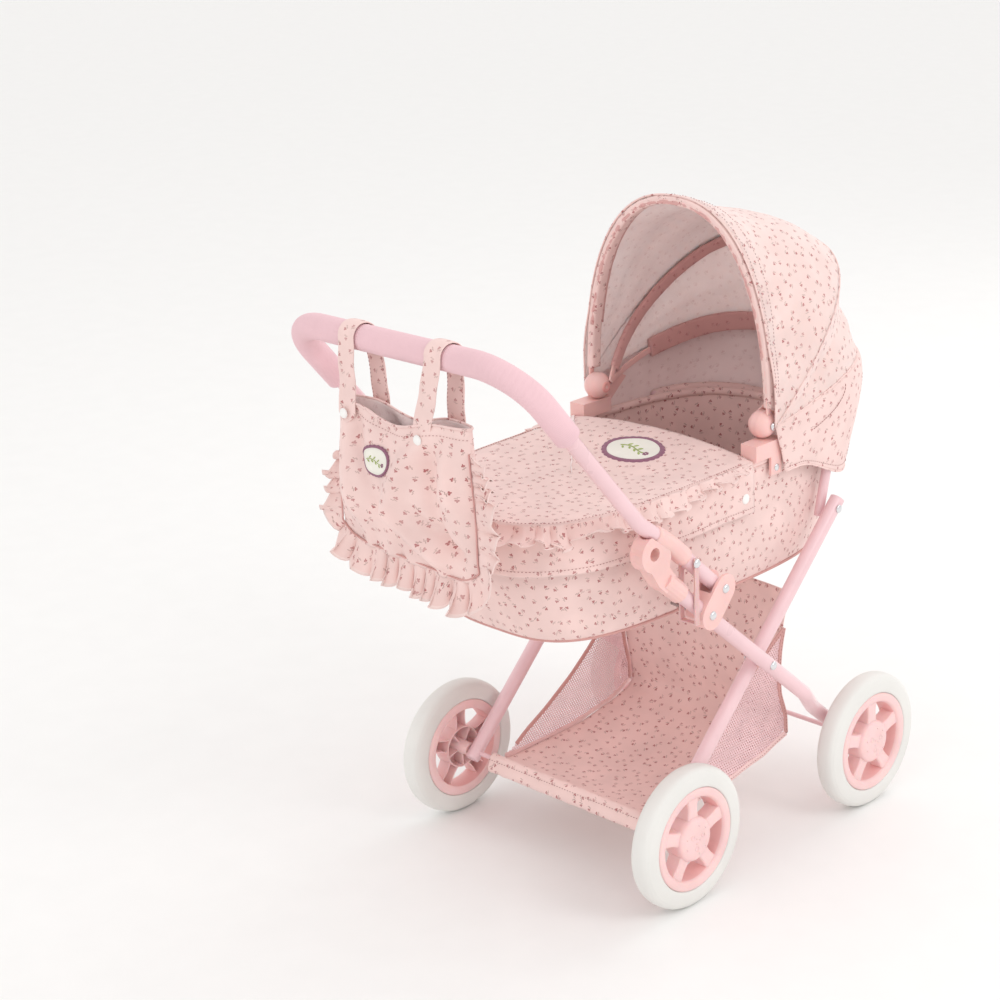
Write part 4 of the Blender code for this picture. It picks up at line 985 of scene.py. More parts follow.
def curtain():
    """The cloth from the rear bow down round the tub's front, hanging in soft waves to its hem."""
    rows, cols = 33, 181
    top = [in_hood(x, r, REAR_CREST[0]) for x, r in crest(REAR_CREST, cols)]
    fine = []
    for i in range(801):
        x, y = power_arc(0.1278, 0.149, 3.8, math.pi * i / 800)
        drop = ease(y, 0.02, 0.11)
        fine.append(Vector((x, 0.117 + y, 0.387 - 0.029 * drop)))
    hem = resampled(fine, lengths(fine)[-1] / (cols - 1))
    run = lengths(hem)
    grid = []
    for i in range(rows):
        part = i / (rows - 1)
        row = []
        for j, (a, b) in enumerate(zip(top, hem)):
            point = a.lerp(b, part)
            ahead = max(0.0, (point.y - HOOD_PIVOT.y) / 0.18)
            out = Vector((point.x * 0.6, point.y - 0.09, 0)).normalized()
            s = run[j]
            fold = 0.0022 * ease(part, 0.10, 1.0) * math.sin(s * 82 + 2.2 * rough(s * 14, seed=3))
            fold *= 0.4 + 0.9 * rough(s * 11, part * 1.2, seed=5)
            sag = 0.0016 * rough(s * 20, part * 4, seed=9) * math.sin(math.pi * part)
            pinch = -0.0010 * math.exp(-((part - 0.93) / 0.012) ** 2)
            inward = 1.0 if abs(point.x) < 0.10 else 0.35
            row.append(point + Vector((0, 0.0185 * math.sin(math.pi * part ** 0.6) * ahead, 0))
                       + out * (fold * inward + pinch + sag * inward))
        grid.append(row)
    downs = [lengths([row[j] for row in grid]) for j in range(cols)]
    obj = surface("curtain_cloth", grid, [COTTON, LINING], lambda i, j: (run[j], downs[j][i]), flip=True)
    thick(obj, 0.0010, inside=1)
    sewn(obj, "chassis", "curtain")
    outline = [p + Vector((p.x * 0.6, p.y - 0.09, 0)).normalized() * 0.0004 for p in grid[-3]]
    stitches("curtain_stitch", outline, "chassis")
    border = [row[0] for row in grid] + grid[-1] + [row[-1] for row in reversed(grid)]
    sewn(cord_of("curtain_edge", border, 0.0009, COTTON), "chassis")
    for side, tag in SIDES:
        curtain_seams(grid, run[-1], side, tag)


def curtain_seams(grid, wide, side, tag):
    """Two curved seams on the curtain's side."""
    rows, cols = len(grid), len(grid[0])
    proud = Vector((side * 0.0004, 0.0002, 0))
    for k, (low, high, far, near) in enumerate(((0.20, 0.97, 0.155, 0.13), (0.05, 0.42, 0.10, 0.045))):
        line = []
        for n in range(25):
            t = n / 24
            spot = lerp(near, far, math.sin(t * math.pi / 2)) / wide * (cols - 1)
            i, j = lerp(high, low, t) * (rows - 1), spot if side > 0 else cols - 1 - spot
            a, b = grid[int(i)][int(j)], grid[int(i) + 1][int(j)]
            c = grid[int(i)][min(cols - 1, int(j) + 1)]
            line.append(a + (b - a) * (i - int(i)) + (c - a) * (j - int(j)) + proud)
        stitches(f"curtain_seam_{k}_{tag}", line, "chassis", share=0.85)


# ---- tub ----------------------------------------------------------------------------------------
def tub_point(turn, mix, out=0.0):
    """A point of the tub's outline, from its floor at mix 0 to its rim at mix 1."""
    middle, long, wide = (lerp(a, b, mix) for a, b in
                          zip((FLOOR_Y, FLOOR_LONG, FLOOR_WIDE), (RIM_Y, RIM_LONG, RIM_WIDE)))
    x, y = power_arc(wide + out, long + out, TUB_POWER, turn)
    return Vector((x, middle + y, 0))


def shrunk(point, scale, z):
    """A point drawn in towards the middle of the tub's floor."""
    return Vector((point.x * scale, FLOOR_Y + (point.y - FLOOR_Y) * scale, z))


def even_turns(count, mix=1.0, out=0.0):
    """Turns that space points evenly round the tub's outline."""
    fine = [tub_point(TAU * i / 1440, mix, out) for i in range(1441)]
    run = lengths(fine)
    turns, k = [], 0
    for i in range(count):
        goal = run[-1] * i / count
        while run[k + 1] < goal:
            k += 1
        turns.append(TAU * (k + (goal - run[k]) / (run[k + 1] - run[k])) / 1440)
    return turns, run[-1]


def tub():
    """The soft tub: an outer skin with a low seam and a soft fold half way up, and a plain lining."""
    count = 220
    turns, around = even_turns(count)
    height = RIM_Z - TUB_LOW
    levels = [(0.0, -0.0105), (0.001, -0.0055), (0.012, -0.0022), (0.03, -0.0006), (0.05, 0.0002), (0.10, 0.0010),
              (0.18, 0.0018), (0.28, 0.0024), (0.38, 0.0026), (0.48, 0.0022), (0.56, 0.0012), (0.60, -0.0006),
              (0.64, 0.0008), (0.72, 0.0012), (0.85, 0.0006), (0.95, 0.0), (1.0, 0.0)]
    def ring_at(m, out, bump):
        row = []
        for k, turn in enumerate(turns):
            p = tub_point(turn, m ** 0.8, out + bump(around * k / count, m))
            p.z = TUB_LOW + height * m
            row.append(p)
        return row

    def wave(s, m):
        swell = rough(s * 16, m * 3, seed=1) * 0.0016 + rough(s * 42, m * 6, seed=2) * 0.0006
        return swell * math.sin(math.pi * min(1, max(0, m))) ** 0.5

    def dent(s, m):
        return -0.0006 - 0.0006 * rough(s * 18, m * 4, seed=6)
    inner = [(1.0, -0.0028), (0.98, -0.0032), (0.8, -0.0034), (0.5, -0.0034), (0.2, -0.0036), (0.1, -0.004)]
    rings = [ring_at(m, out, wave) for m, out in levels]
    floor = [Vector((p.x * 0.94, RIM_Y + 0.011 + (p.y - RIM_Y - 0.011) * 0.96, TUB_LOW + 0.004)) for p in rings[0]]
    bottom = [[shrunk(p, k, TUB_LOW) for p in rings[0]] for k in (0.0002, 0.5, 0.9)]
    split = len(rings)
    downs = [height * m for m, _ in levels] + [height * (2 - m) for m, _ in inner] + [height * 2]
    rings += [ring_at(m, out, dent) for m, out in inner] + [floor]
    rings = bottom + rings
    downs = [-0.105, -0.05, -0.01] + downs
    obj = surface("tub_skin", rings, [COTTON, COTTON_DEEP], lambda i, j: (around * j / count, downs[i]),
                  wrap=True, caps=True, mat_of=lambda i, j: 1 if i >= split + 2 else 0)
    sewn(obj, "chassis", "tub")
    ring = []
    for turn in turns:
        p = tub_point(turn, 0.0, 0.0004)
        p.z = TUB_LOW + 0.0022
        ring.append(p)
    sewn(cord_of("tub_piping", ring, 0.0014, BINDING, closed=True), "chassis")


def rim_roll():
    """Cloth rolled round the wire in the tub's rim."""
    half, z = RIM_WIDE - WIRE_IN, RIM_Z + WIRE_IN
    loop = []
    for i in range(240):
        x, y = power_arc(half, RIM_LONG - WIRE_IN, TUB_POWER, TAU * i / 240)
        loop.append(Vector((x, RIM_Y + y, z)))
    loop = resampled(loop + loop[:1], 0.004)[:-1]
    obj = cord_of("tub_rim_roll", loop, 0.0042, COTTON_DEEP, 16, closed=True)
    sewn(pucker(obj, 0.0004, 120), "chassis")


def hoop_sleeve():
    """Cloth round the hoop where it crosses the tub's front."""
    start = Vector((HOOP_OUT.x, 0.215, HOOP_FRONT.z))
    half = rounded([start, HOOP_OUT + HOOP_FRONT, HOOP_FRONT], HOOP_BEND, 12)
    obj = cord_of("hoop_sleeve", resampled(both_sides(half[:-1]), 0.003), 0.0066, COTTON_DEEP, 20)
    sewn(pucker(obj, 0.0004, 140), "chassis")


def base_pad():
    """The mattress: a thin quilted pad, crowned and drawn in by its channels."""
    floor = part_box("base_pad")[0].z
    count, rings = 120, 22
    turns, around = even_turns(count, 0.0, -0.009)
    grid = []
    for i in range(rings + 1):
        k = max(0.0003, i / rings)
        row = []
        for turn in turns:
            p = shrunk(tub_point(turn, 0.0, -0.0085), k, 0)
            crown = (1 - k ** 6) * 0.0045
            tuft = 0.0022 * (abs(math.sin(p.y * 52)) ** 0.5) * (1 - k ** 8)
            p.z = floor + 0.003 + crown + tuft + 0.0004 * rough(p.x * 60, p.y * 60, seed=8)
            row.append(p)
        grid.append(row)
    grid.append([shrunk(p, 0.985, floor + 0.0004) for p in grid[-1]])
    obj = surface("mattress", grid, LINING,
                  lambda i, j: (around * j / count * min(1, (i + 1) / rings), i * 0.008), wrap=True, caps=True)
    sewn(obj, "chassis", "base_pad")


# ---- frills, badges -----------------------------------------------------------------------------
def frill(name, seam, out_of, way_of, drop_of, body, fullness=1.8, pitch=0.016, depth=0.0070, lean=0.5, seed=1.0):
    """A gathered strip: one edge follows a seam and the free edge ripples and curls."""
    line = resampled(seam, 0.0011)
    run, frames, rows = lengths(line), along(line), 12
    total, grid = run[-1], []
    for i in range(rows + 1):
        t = i / rows
        tight = 0.20 * min(1.0, t * 7) + 0.80 * t ** 1.25
        row = []
        for point, s, (tangent, _, _) in zip(line, run, frames):
            out, way = out_of(tangent, point), way_of(tangent, point)
            taper = ease(min(s, total - s) + 0.005, 0, 0.02)
            phase = TAU * (s / pitch + 0.95 * rough(s * 24, seed=seed))
            size = depth * taper * (0.8 + 0.7 * rough(s * 34, seed=seed + 1)) * tight
            drop = drop_of(s / total) * (1 + 0.18 * rough(s * 48, seed=seed + 3)) * max(taper, 0.35)
            tilt = lean * (1 + 0.8 * rough(s * 26, seed=seed + 2))
            fold = math.sin(phase) + 0.2 * math.sin(2 * phase + 1.1)
            row.append(point + (way * math.cos(tilt * t) + out * math.sin(tilt * t)) * drop * t
                       + out * size * fold + tangent * size * 0.45 * math.sin(2 * phase + 0.5)
                       - way * size * 0.30 * math.cos(phase + 0.4))
        grid.append(row)
    deep = sum(drop_of(k / 20) for k in range(21)) / 21
    obj = surface(name, grid, [COTTON, FRILL_EDGE], lambda i, j: (run[j] * fullness, deep * i / rows),
                  mat_of=lambda i, j: 1 if i >= rows - 1 else 0)
    thick(obj, 0.0006, offset=0.0)
    sewn(obj, body)
    sewn(cord_of(name + "_edge", grid[-1], 0.00038, FRILL_EDGE, 6), body)
    return obj


def badge(name, spot, half_a, half_b, body):
    """An oval sewn badge: a plum scalloped rim, a cream field and a small plain sprig."""
    steps = 72

    def oval(scale, up, count, wave=0.0, a0=0.0, b0=0.0, a1=half_a, b1=half_b, turn0=0.0):
        row = []
        for k in range(count):
            turn = TAU * k / count
            size = scale * (1 + wave * abs(math.sin(turn * 14)))
            a, b = a1 * size * math.cos(turn), b1 * size * math.sin(turn)
            row.append(spot(a0 + a * math.cos(turn0) - b * math.sin(turn0),
                            b0 + a * math.sin(turn0) + b * math.cos(turn0), up))
        return row

    def patch(rings, mat):
        return surface(name, rings, mat, lambda i, j: (i * 0.003, j * 0.001), wrap=True)
    cream = ((0.001, 0.0011), (0.45, 0.0011), (0.84, 0.0010), (0.885, 0.0007))
    plum = ((0.855, 0.0008, 0), (0.88, 0.0016, 0), (0.93, 0.0018, 0.01), (0.975, 0.0013, 0.04), (1.0, 0.0, 0.045))
    parts = [patch([oval(s, u, steps) for s, u in cream], BADGE_CREAM),
             patch([oval(s, u, steps * 3, w) for s, u, w in plum], BADGE_PLUM)]
    stem = [(half_a * lerp(-0.50, 0.46, t / 24), half_b * 0.13 * math.sin(t / 24 * 4.4 + 0.4))
            for t in range(25)]
    parts.append(cord_of("stem", [spot(a, b, 0.0014) for a, b in stem], half_a * 0.016, BADGE_GREEN, 8))
    for k in range(7):
        a0, b0 = stem[2 + k * 3]
        way = 1 if k % 2 else -1
        leaf = [oval(s, u, 14, 0, a0 + half_a * 0.050, b0 + way * half_b * 0.13, half_a * 0.085,
                     half_a * 0.034, way * 0.75) for s, u in ((0.02, 0.0019), (0.6, 0.0017), (1.0, 0.0011))]
        parts.append(patch(leaf, BADGE_GREEN))
    for k in range(6):
        turn = TAU * k / 6
        a0 = stem[-1][0] + half_a * (0.09 + 0.060 * math.cos(turn))
        b0 = stem[-1][1] + half_a * 0.060 * math.sin(turn)
        petal = [oval(s, u, 12, 0, a0, b0, half_a * 0.038, half_a * 0.038)
                 for s, u in ((0.02, 0.0020), (0.6, 0.0018), (1.0, 0.0011))]
        parts.append(patch(petal, BADGE_PLUM))
    return sewn(joined(name, parts), body)


# ---- cover --------------------------------------------------------------------------------------
COVER_FRONT, COVER_PROUD, COVER_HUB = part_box("apron")[1].y, 0.0017, Vector((0, -0.05, 0))


def cover_height(x, y):
    """The cover's top: flat behind, rising to a crowned front edge, with soft creases."""
    across = 1 - min(1.0, abs(x) / 0.121) ** 2
    rise = 0.0115 * ease(y, -0.035, COVER_FRONT + 0.012) * across ** 0.8
    sag = -0.0028 * across * ease(y, -0.20, -0.09) * (1 - ease(y, -0.03, 0.05))
    crease = 0.0011 * math.sin(46 * (0.8 * x + 0.6 * y) + 2.5 * rough(x * 11, y * 11, seed=3))
    crease *= rough(x * 9, y * 9, seed=5) * across
    fine = 0.0007 * rough(x * 40, y * 40, seed=6) * min(1.0, across * 3)
    return 0.4068 + rise + sag + crease + fine


def cover_outline():
    """The cover's edge round the rim, from side to side, and its front edge across the tub."""
    turns, _ = even_turns(1200, 1.0, COVER_PROUD)
    outline = [tub_point(turn, 1.0, COVER_PROUD) for turn in turns]
    start = next(i for i, p in enumerate(outline) if p.y < COVER_FRONT - 0.001 and p.x < 0)
    rim = [p for p in outline[start:] + outline[:start] if p.y <= COVER_FRONT]
    rim = resampled(rim, lengths(rim)[-1] / 260)
    front = [Vector((lerp(rim[-1].x, rim[0].x, i / 80), COVER_FRONT + 0.004 * math.sin(math.pi * i / 80), 0))
             for i in range(1, 80)]
    return rim, front


def cover():
    """The boot cover's top with its front hem, its skirt, its frill and its badge."""
    rim, front = cover_outline()
    edge = rim + front
    hub = Vector((0, -0.055, 0))
    rows = []
    for k in [0.001] + [i / 34 for i in range(1, 35)]:
        row = []
        for p in edge:
            q = hub.lerp(p, k)
            q.z = cover_height(q.x, q.y)
            if k > 0.975:
                q.z -= 0.0006
            row.append(q)
        rows.append(row)
    obj = surface("cover_top", rows, [COTTON, LINING],
                  lambda i, j: (rows[i][j % len(edge)].x, rows[i][j % len(edge)].y), wrap=True, flip=True)
    thick(obj, 0.0010, inside=1)
    sewn(obj, "chassis", "apron")
    line = [Vector((p.x, p.y, cover_height(p.x, p.y) + 0.0002)) for p in [rim[-1]] + front + [rim[0]]]
    sewn(cord_of("cover_front_roll", line, 0.0012, COTTON), "chassis")
    stitches("cover_front_stitch", [p + Vector((0, -0.009, 0.0004)) for p in line], "chassis")
    outs = []
    for i, p in enumerate(rim):
        a, b = rim[max(0, i - 1)], rim[min(len(rim) - 1, i + 1)]
        outs.append(away_from_hub((b - a).normalized(), p))
    rim = [Vector((p.x, p.y, cover_height(p.x, p.y))) for p in rim]
    cover_skirt(rim, outs)
    cover_frill(rim, outs)

    def on_cover(a, b, up):
        x, y = 0.012 + a, 0.022 + b
        return Vector((x, y, cover_height(x, y) + up))
    badge("cover_badge", on_cover, 0.035, 0.0245, "chassis")


def away_from_hub(tangent, point):
    """Straight out from the cover's edge, level."""
    out = Vector((-tangent.y, tangent.x, 0))
    return out if out.dot(point - Vector((COVER_HUB.x, COVER_HUB.y, point.z))) >= 0 else -out


def cover_skirt(rim, outs):
    run = lengths(rim)
    low_z, rows, count, height = 0.3545, [], 26, 0.053
    for i in range(count + 1):
        t = i / count
        row = []
        for p, out, s in zip(rim, outs, run):
            wave = 0.0011 * math.sin(s * 55 + 2 * rough(s * 9, seed=4)) * ease(t, 0.1, 1.0)
            wave += 0.0009 * rough(s * 30, t * 3, seed=9) * ease(t, 0, 0.3)
            low = low_z + 0.0014 * rough(s * 14, seed=2)
            proud = 0.0006 + 0.7 * wave + 0.0010 * ease(t, 0, 0.2)
            row.append(Vector((p.x, p.y, lerp(p.z - 0.0008, low, t))) + out * proud)
        rows.append(row)
    skirt = surface("cover_skirt", rows, [COTTON, LINING], lambda i, j: (run[j], height * i / count),
                    flip=True)
    thick(skirt, 0.0009, inside=1)
    sewn(skirt, "chassis")
    stitches("skirt_stitch", [p + o * 0.0004 for p, o in zip(rows[-4], outs)], "chassis")


def cover_frill(rim, outs):
    """The frill hangs from the cover's edge and stands out more near its front ends."""
    ends = [i for i, p in enumerate(rim) if p.y < 0.066]
    kept = slice(ends[0], ends[-1] + 1)
    seam = [p + o * 0.0016 for p, o in zip(rim, outs)][kept]

    def outward(tangent, point):
        out = Vector((-tangent.y, tangent.x, 0)).normalized() * lerp(1.0, 0.52, ease(point.y, -0.17, -0.14))
        return out if out.dot(point - Vector((0, -0.05, point.z))) > 0 else -out

    def droop(tangent, point):
        lift = 0.8 * ease(point.y, -0.03, 0.04)
        return (outward(tangent, point).normalized() * lift - Vector((0, 0, 1 - lift * 0.7))).normalized()
    frill("cover_frill", seam, outward, droop,
          lambda s: lerp(0.0150, 0.0250, ease(min(s, 1 - s), 0.08, 0.18)), "chassis", fullness=1.5,
          pitch=0.0210, depth=0.0072, lean=0.95, seed=11)
    line = [p + Vector((0, 0, 0.0007)) - o * 0.003 for p, o in zip(seam, outs[kept])]
    stitches("frill_stitch", line, "chassis")


# ---- basket -------------------------------------------------------------------------------------
BASKET_SIDE = 0.109
# outline of a net side in side view: floor edge, front edge, top corner, then back to the axle
NET_EDGE = [Vector((0, y, z)) for y, z in (
    (-0.0560, 0.0680), (-0.030, 0.0660), (0.010, 0.0665), (0.060, 0.0700), (0.105, 0.0775), (0.1410, 0.0890),
    (0.1400, 0.1100), (0.1330, 0.1350), (0.1300, 0.1600), (0.1320, 0.1850), (0.1355, 0.2020), (0.1370, 0.2080),
    (0.1200, 0.1950), (0.0875, 0.1660), (0.0400, 0.1300), (-0.0050, 0.1000), (-0.0400, 0.0760))]


def collapse(obj):
    """Gives a basket piece its own copy of its mesh."""
    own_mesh(obj)
    return obj


def basket_profile():
    """Side view of the cloth, from the hem on the axle along the floor and up the front wall."""
    points = [(-0.0715, 0.0690), (-0.055, 0.0665), (-0.030, 0.0650), (0.010, 0.0655), (0.060, 0.0690),
              (0.105, 0.0765), (0.1335, 0.0850), (0.1430, 0.0935), (0.1400, 0.1100), (0.1340, 0.1350),
              (0.1310, 0.1600), (0.1330, 0.1900), (0.1400, 0.2200), (0.1470, 0.2450)]
    return resampled([Vector((0, y, z)) for y, z in points], 0.004)


def basket():
    profile = basket_profile()
    run = lengths(profile)
    cols, rows = 61, []
    fold_at = next(r for p, r in zip(profile, run) if p.y > 0.138)
    for p, s in zip(profile, run):
        floor = 1 - ease(s, fold_at - 0.02, fold_at + 0.02)
        row = []
        for j in range(cols):
            u = 2 * j / (cols - 1) - 1
            belly = 1 - u * u
            x = u * BASKET_SIDE * (1 - 0.045 * math.sin(math.pi * min(1, s / run[-1])) * abs(u))
            z = p.z - 0.010 * belly * floor * math.sin(math.pi * min(1.0, s / fold_at)) ** 0.7
            z += 0.0018 * rough(x * 16, s * 14, seed=3) * floor
            y = p.y + (1 - floor) * (0.006 * belly + 0.0030 * rough(x * 14, s * 13, seed=5))
            crease = 0.0012 * math.sin(60 * (x * 0.5 + s)) * rough(x * 10, s * 8, seed=8)
            row.append(Vector((x, y + crease * (1 - floor), z + crease * floor)))
        rows.append(row)
    obj = surface("basket_cloth", rows, [COTTON_DEEP, COTTON_DEEP],
                  lambda i, j: (BASKET_SIDE * 2 * j / (cols - 1), run[i]))
    thick(obj, 0.0010)
    sewn(obj, "rear_frame", "basket")
    collapse(obj)
    hem_wrap()
    for side, tag in SIDES:
        basket_side(side, tag)


def hem_wrap():
    """The rear hem: a sewn channel round the axle, gathered a little, with a loose lower edge."""
    path = [Vector((lerp(-0.106, 0.104, i / 150), REAR_AXLE.y, REAR_AXLE.z)) for i in range(151)]
    sides = 28

    def ring(i):
        out = []
        for k in range(sides):
            turn = TAU * k / sides
            r = 0.0058 + 0.0007 * rough(i * 0.16, math.cos(turn) * 1.5, math.sin(turn) * 1.5, seed=4)
            tail = 0.0085 * max(0.0, math.cos(turn + 2.15)) ** 10
            out.append(((r + tail) * math.cos(turn), (r + tail) * math.sin(turn)))
        return out
    obj = sweep("basket_hem", path, ring, COTTON_DEEP, keep=(0, 1, 0))
    sewn(obj, "rear_frame")
    collapse(obj)
    for k, (y, z) in enumerate(((-0.0062, 0.0015), (0.0010, -0.0064))):
        line = [p + Vector((0, y, z)) for p in path]
        collapse(stitches(f"hem_stitch_{k}", line, "rear_frame"))


def inside(y, z):
    """Whether a place lies inside the net side's outline."""
    hit = False
    for a, b in zip(NET_EDGE, NET_EDGE[1:] + NET_EDGE[:1]):
        if (a.z > z) != (b.z > z) and y < a.y + (z - a.z) * (b.y - a.y) / (b.z - a.z):
            hit = not hit
    return hit


def net_x(side, y, z):
    """Where the slack side panel hangs."""
    u, v = (y + 0.07) / 0.21, (z - 0.06) / 0.19
    slack = 0.0085 * math.sin(math.pi * min(1, max(0, u))) * math.sin(math.pi * min(1, max(0, v * 1.2)))
    return side * (BASKET_SIDE - slack + 0.0016 * rough(y * 24, z * 24, seed=6 + side))


def basket_side(side, tag):
    """A side of netting with a strand round each hole, and a sewn tape along each edge."""
    cell = 0.0031
    verts, faces, uvs, found = [], [], [], {}
    tall = cell * math.sqrt(3) / 2

    def vertex(y, z):
        key = (round(y * 2e5), round(z * 2e5))
        if key not in found:
            found[key] = len(verts)
            verts.append(Vector((net_x(side, y, z), y, z)))
        return found[key]
    radius = cell / math.sqrt(3)
    strand = 0.60
    for r in range(int(0.2 / tall) + 2):
        for c in range(int(0.24 / cell) + 2):
            y0, z0 = -0.076 + (c + 0.5 * (r % 2)) * cell, 0.062 + r * tall
            if not inside(y0, z0):
                continue
            turns = [TAU * (k + 0.5) / 6 for k in range(6)]
            corners = [(y0 + radius * math.cos(turn), z0 + radius * math.sin(turn)) for turn in turns]
            holes = []
            for y, z in corners:
                yy, zz = y0 + (y - y0) * strand, z0 + (z - z0) * strand
                holes.append(len(verts))
                verts.append(Vector((net_x(side, yy, zz), yy, zz)))
            ids = [vertex(y, z) for y, z in corners]
            for k in range(6):
                m = (k + 1) % 6
                faces.append([ids[k], ids[m], holes[m], holes[k]])
                uvs += [(y0, z0)] * 4
    net = finish_mesh(f"basket_net_{tag}", verts, faces, uvs, [NETTING])
    thick(net, 0.0004, offset=0.0)
    sewn(net, "rear_frame")
    collapse(net)
    for name, first, last, width, mat in (("bottom", 0, 5, 0.0062, PALE_TAPE),
                                          ("front", 5, 11, 0.0056, BINDING), ("top", 11, 16, 0.0048, BINDING)):
        path = resampled(NET_EDGE[first:last + 1], 0.003)
        path = [Vector((net_x(side, p.y, p.z), p.y, p.z)) for p in path]
        size = width / 2

        def ring(i, size=size):
            bump = 1 + 0.10 * rough(i * 0.5, seed=size * 900)
            return oblong(size * bump, 0.0011, 3, 14)
        frames = along(path)
        trim = sweep(f"basket_{name}_tape_{tag}", path, ring, mat,
                     keep=lambda i: frames[i][0].cross(Vector((1, 0, 0))))
        sewn(trim, "rear_frame")
        collapse(trim)
        stitch_path = [p + Vector((side * 0.0013, 0, 0)) for p in path]
        collapse(stitches(f"basket_{name}_stitch_{tag}", stitch_path, "rear_frame", size=0.0003))


# ---- bag ----------------------------------------------------------------------------------------
def bag_half(v):
    """Half width and half depth of the bag at a share of its height, from the mouth down."""
    return (lerp(0.0850, 0.0905, ease(v, 0, 0.7)),
            lerp(0.0120, 0.0235, ease(v, 0.0, 0.55)) * (1 - 0.82 * ease(v, 0.55, 1.0)))


def ridge(x, z, fold):
    """Height of a soft fold that runs between two places on the bag's face."""
    x0, z0, x1, z1, wide, high = fold
    run = Vector((x1 - x0, z1 - z0))
    here = Vector((x - x0, z - z0))
    t = here.dot(run) / run.length_squared
    bow = 0.004 * math.sin(math.pi * min(1, max(0, t)))
    off = (here.x * run.y - here.y * run.x) / run.length + bow
    return high * math.exp(-(off / wide) ** 2) * ease(t, -0.15, 0.25) * (1 - ease(t, 0.75, 1.15))


def bag_fold(x, v, face):
    """How far the bag's cloth stands out at a place on its face."""
    z = v * (BAG_TOP - BAG_LOW)
    folds = BAG_FOLDS if face == 1 else [(-f[0], *f[1:2], -f[2], *f[3:]) for f in BAG_FOLDS]
    push = 2.0 * sum(ridge(x, z, fold) for fold in folds)
    gather = 0.0016 * math.sin(155 * x + 2.5 * rough(x * 24, seed=face))
    gather = gather * (1 - ease(v, 0.12, 0.5)) * ease(v, 0.0, 0.08)
    seam = 0.0016 * math.sin(190 * x + 2.5 * rough(x * 30, seed=face + 2)) * ease(v, 0.80, 0.97)
    fine = 0.0011 * rough(x * 52, v * 9, seed=face + 7)
    return push * (1 - ease(v, 0.90, 1.0) * 0.7) + gather + seam + fine


def bag():
    rows_n, count = 60, 240
    rows, downs = [], []
    height = BAG_TOP - BAG_LOW
    for i in range(rows_n + 1):
        v = i / rows_n
        half, depth = bag_half(v)
        row = []
        for spot in ring_of(half, depth, 2.3, count):
            cx, cy = spot.x, spot.y
            face = 1 if cy < 0 else 2
            away = (abs(cy) / depth) ** 0.6
            y = BAG_Y + cy + math.copysign(1, cy) * bag_fold(cx, v, face) * away
            lip = (-0.0050 * math.cos(math.pi * min(1.0, abs(cx) / 0.055)) - 0.0035) * (1 - ease(v, 0, 0.3))
            corner = 0.010 * ease(v, 0.80, 1.0) * max(0.0, (abs(cx) / half - 0.62) / 0.38) ** 2
            z = BAG_TOP - height * v + lip - 0.0055 * (cx / half) * ease(v, 0.5, 1.0) + corner
            row.append(Vector((BAG_X + cx, y, z)))
        rows.append(row)
        downs.append(height * v)
    around = 4 * 0.092
    skin = surface("bag_shell", rows, [COTTON, LINING], lambda i, j: (around * j / count, downs[i]),
                   wrap=True, flip=True)
    thick(skin, 0.0009, inside=1)
    sewn(skin, "bag", "bag")
    sewn(cord_of("bag_mouth_roll", rows[0], 0.0012, COTTON, closed=True), "bag")
    hem = [p + Vector((0, math.copysign(0.0005, p.y - BAG_Y), 0)) for p in rows[4]]
    stitches("bag_mouth_stitch", hem + hem[:1], "bag", size=0.00028)
    left = [Vector((min(p.x for p in row) + 0.001, BAG_Y - 0.003, row[count // 2].z)) for row in rows[22:-3]]
    low = sorted([Vector((p.x, BAG_Y - 0.003, p.z + 0.003)) for p in rows[-1] if p.y <= BAG_Y], key=lambda p: p.x)
    right = [Vector((max(p.x for p in row) - 0.001, BAG_Y - 0.003, row[0].z)) for row in reversed(rows[5:-3])]
    seam = smooth_path(left[::6] + [left[-1]] + low[8:-8:10] + [right[0]] + right[6::6], 0.002)

    def way(tangent, _):
        return Vector((tangent.z, 0.0, -tangent.x)).normalized()
    frill("bag_frill", seam, lambda t, p: Vector((0, -1, 0)), way,
          lambda s: lerp(0.0130, 0.0300, ease(s, 0.05, 0.30)), "bag", fullness=1.9, pitch=0.0185, depth=0.0080,
          lean=0.30, seed=21)
    sewn(cord_of("bag_frill_seam", [p + Vector((0, -0.0010, 0)) for p in seam], 0.0008, BINDING), "bag")
    bag_straps()

    def on_bag(a, b, up):
        x, z = -0.0125 + a, 0.4775 + b
        v = (BAG_TOP - z) / height
        half, depth = bag_half(v)
        share = min(0.999, abs(x - BAG_X) / half)
        deep = (1 - share ** 2.3) ** (1 / 2.3)
        return Vector((x, BAG_Y - depth * deep - bag_fold(x - BAG_X, v, 1) * deep ** 0.6 - up - 0.0004, z))
    badge("bag_badge", on_bag, 0.0200, 0.0140, "bag")


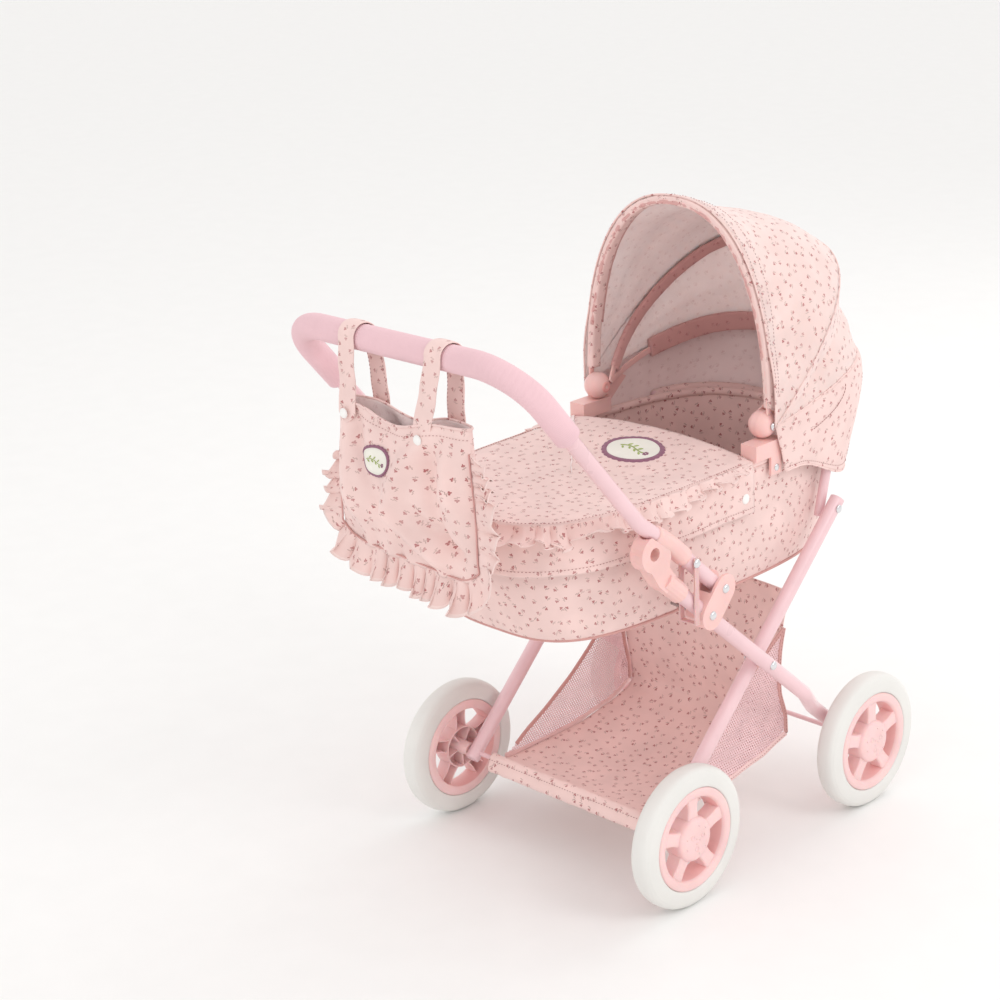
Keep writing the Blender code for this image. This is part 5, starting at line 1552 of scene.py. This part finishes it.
def bag_straps():
    """Two printed bands over the grip. Their pointed front ends are held by snaps."""
    r = GRIP_R + 0.0019
    mouth_y = BAG_Y - 0.0105
    for tag, top_x, (front_x, front_z), back_x in (("R", 0.0625, (0.0430, 0.508), 0.0590),
                                                   ("L", -0.0500, (-0.0540, 0.5145), -0.0400)):
        path = [Vector((back_x, -0.2595, 0.512)), Vector((back_x, -0.2588, 0.530)),
                Vector((lerp(back_x, top_x, 0.6), BAR.y + r, BAR.z - 0.008))]
        for i in range(13):
            turn = math.pi * i / 12
            path.append(BAR + Vector((top_x, r * math.cos(turn), r * math.sin(turn))))
        path += [Vector((lerp(top_x, front_x, 0.25), BAR.y - r - 0.0002, BAR.z - 0.022)),
                 Vector((lerp(top_x, front_x, 0.70), lerp(BAR.y - r, mouth_y, 0.7), 0.534)),
                 Vector((front_x, mouth_y - 0.0015, front_z + 0.004)),
                 Vector((front_x, mouth_y - 0.0035, front_z - 0.010))]
        path = smooth_path(path, 0.0016)
        run = lengths(path)
        total = run[-1]

        def ring(i, total=total, run=run):
            left = total - run[i]
            half = STRAP_HALF * (1 - 0.10 * math.sin(math.pi * run[i] / total))
            half *= min(1.0, 0.08 + (left / 0.0095) ** 0.75) if left < 0.0095 else 1.0
            bend = 0.0006 * math.sin(run[i] * 190)
            return [(a, b + bend * (a / STRAP_HALF) ** 2) for a, b in oblong(half, 0.0009, 3.2, 22)]
        strap = sweep(f"bag_band_{tag}", path, ring, COTTON, keep=(1, 0, 0))
        sewn(strap, "bag", f"bag_strap_{tag}")
        sewn_part = list(zip(path, along(path, keep=(1, 0, 0)), run))[4:int(len(path) * 0.90)]
        for edge in (-0.0098, 0.0098):
            line = [p + across * edge * (1 - 0.10 * math.sin(math.pi * d / total)) + up * -0.0010
                    for p, (_, across, up), d in sewn_part]
            stitches(f"bag_band_stitch_{tag}_{'a' if edge < 0 else 'b'}", line, "bag", size=0.00030)
        outline = [(0.0020, 0.0), (0.0019, 0.0018), (0.0014, 0.0034), (0.0006, 0.0046), (-0.0004, 0.0050),
                   (-0.0008, 0.0044), (-0.0008, 0.0)]
        snap = spun(turned(f"bag_snap_{tag}", outline, WHITE, 28), -math.pi / 2, "Z")
        place(moved(snap, (front_x, mouth_y - 0.0062, front_z - 0.0005)), "bag", "snap_white")


# ---- build --------------------------------------------------------------------------------------
studio()
legs()
handle()
front_hoop()
rivets()
wheels()
fittings()
hood_bows()
hood_cloth()
curtain()
tub()
rim_roll()
hoop_sleeve()
base_pad()
cover()
basket()
bag()
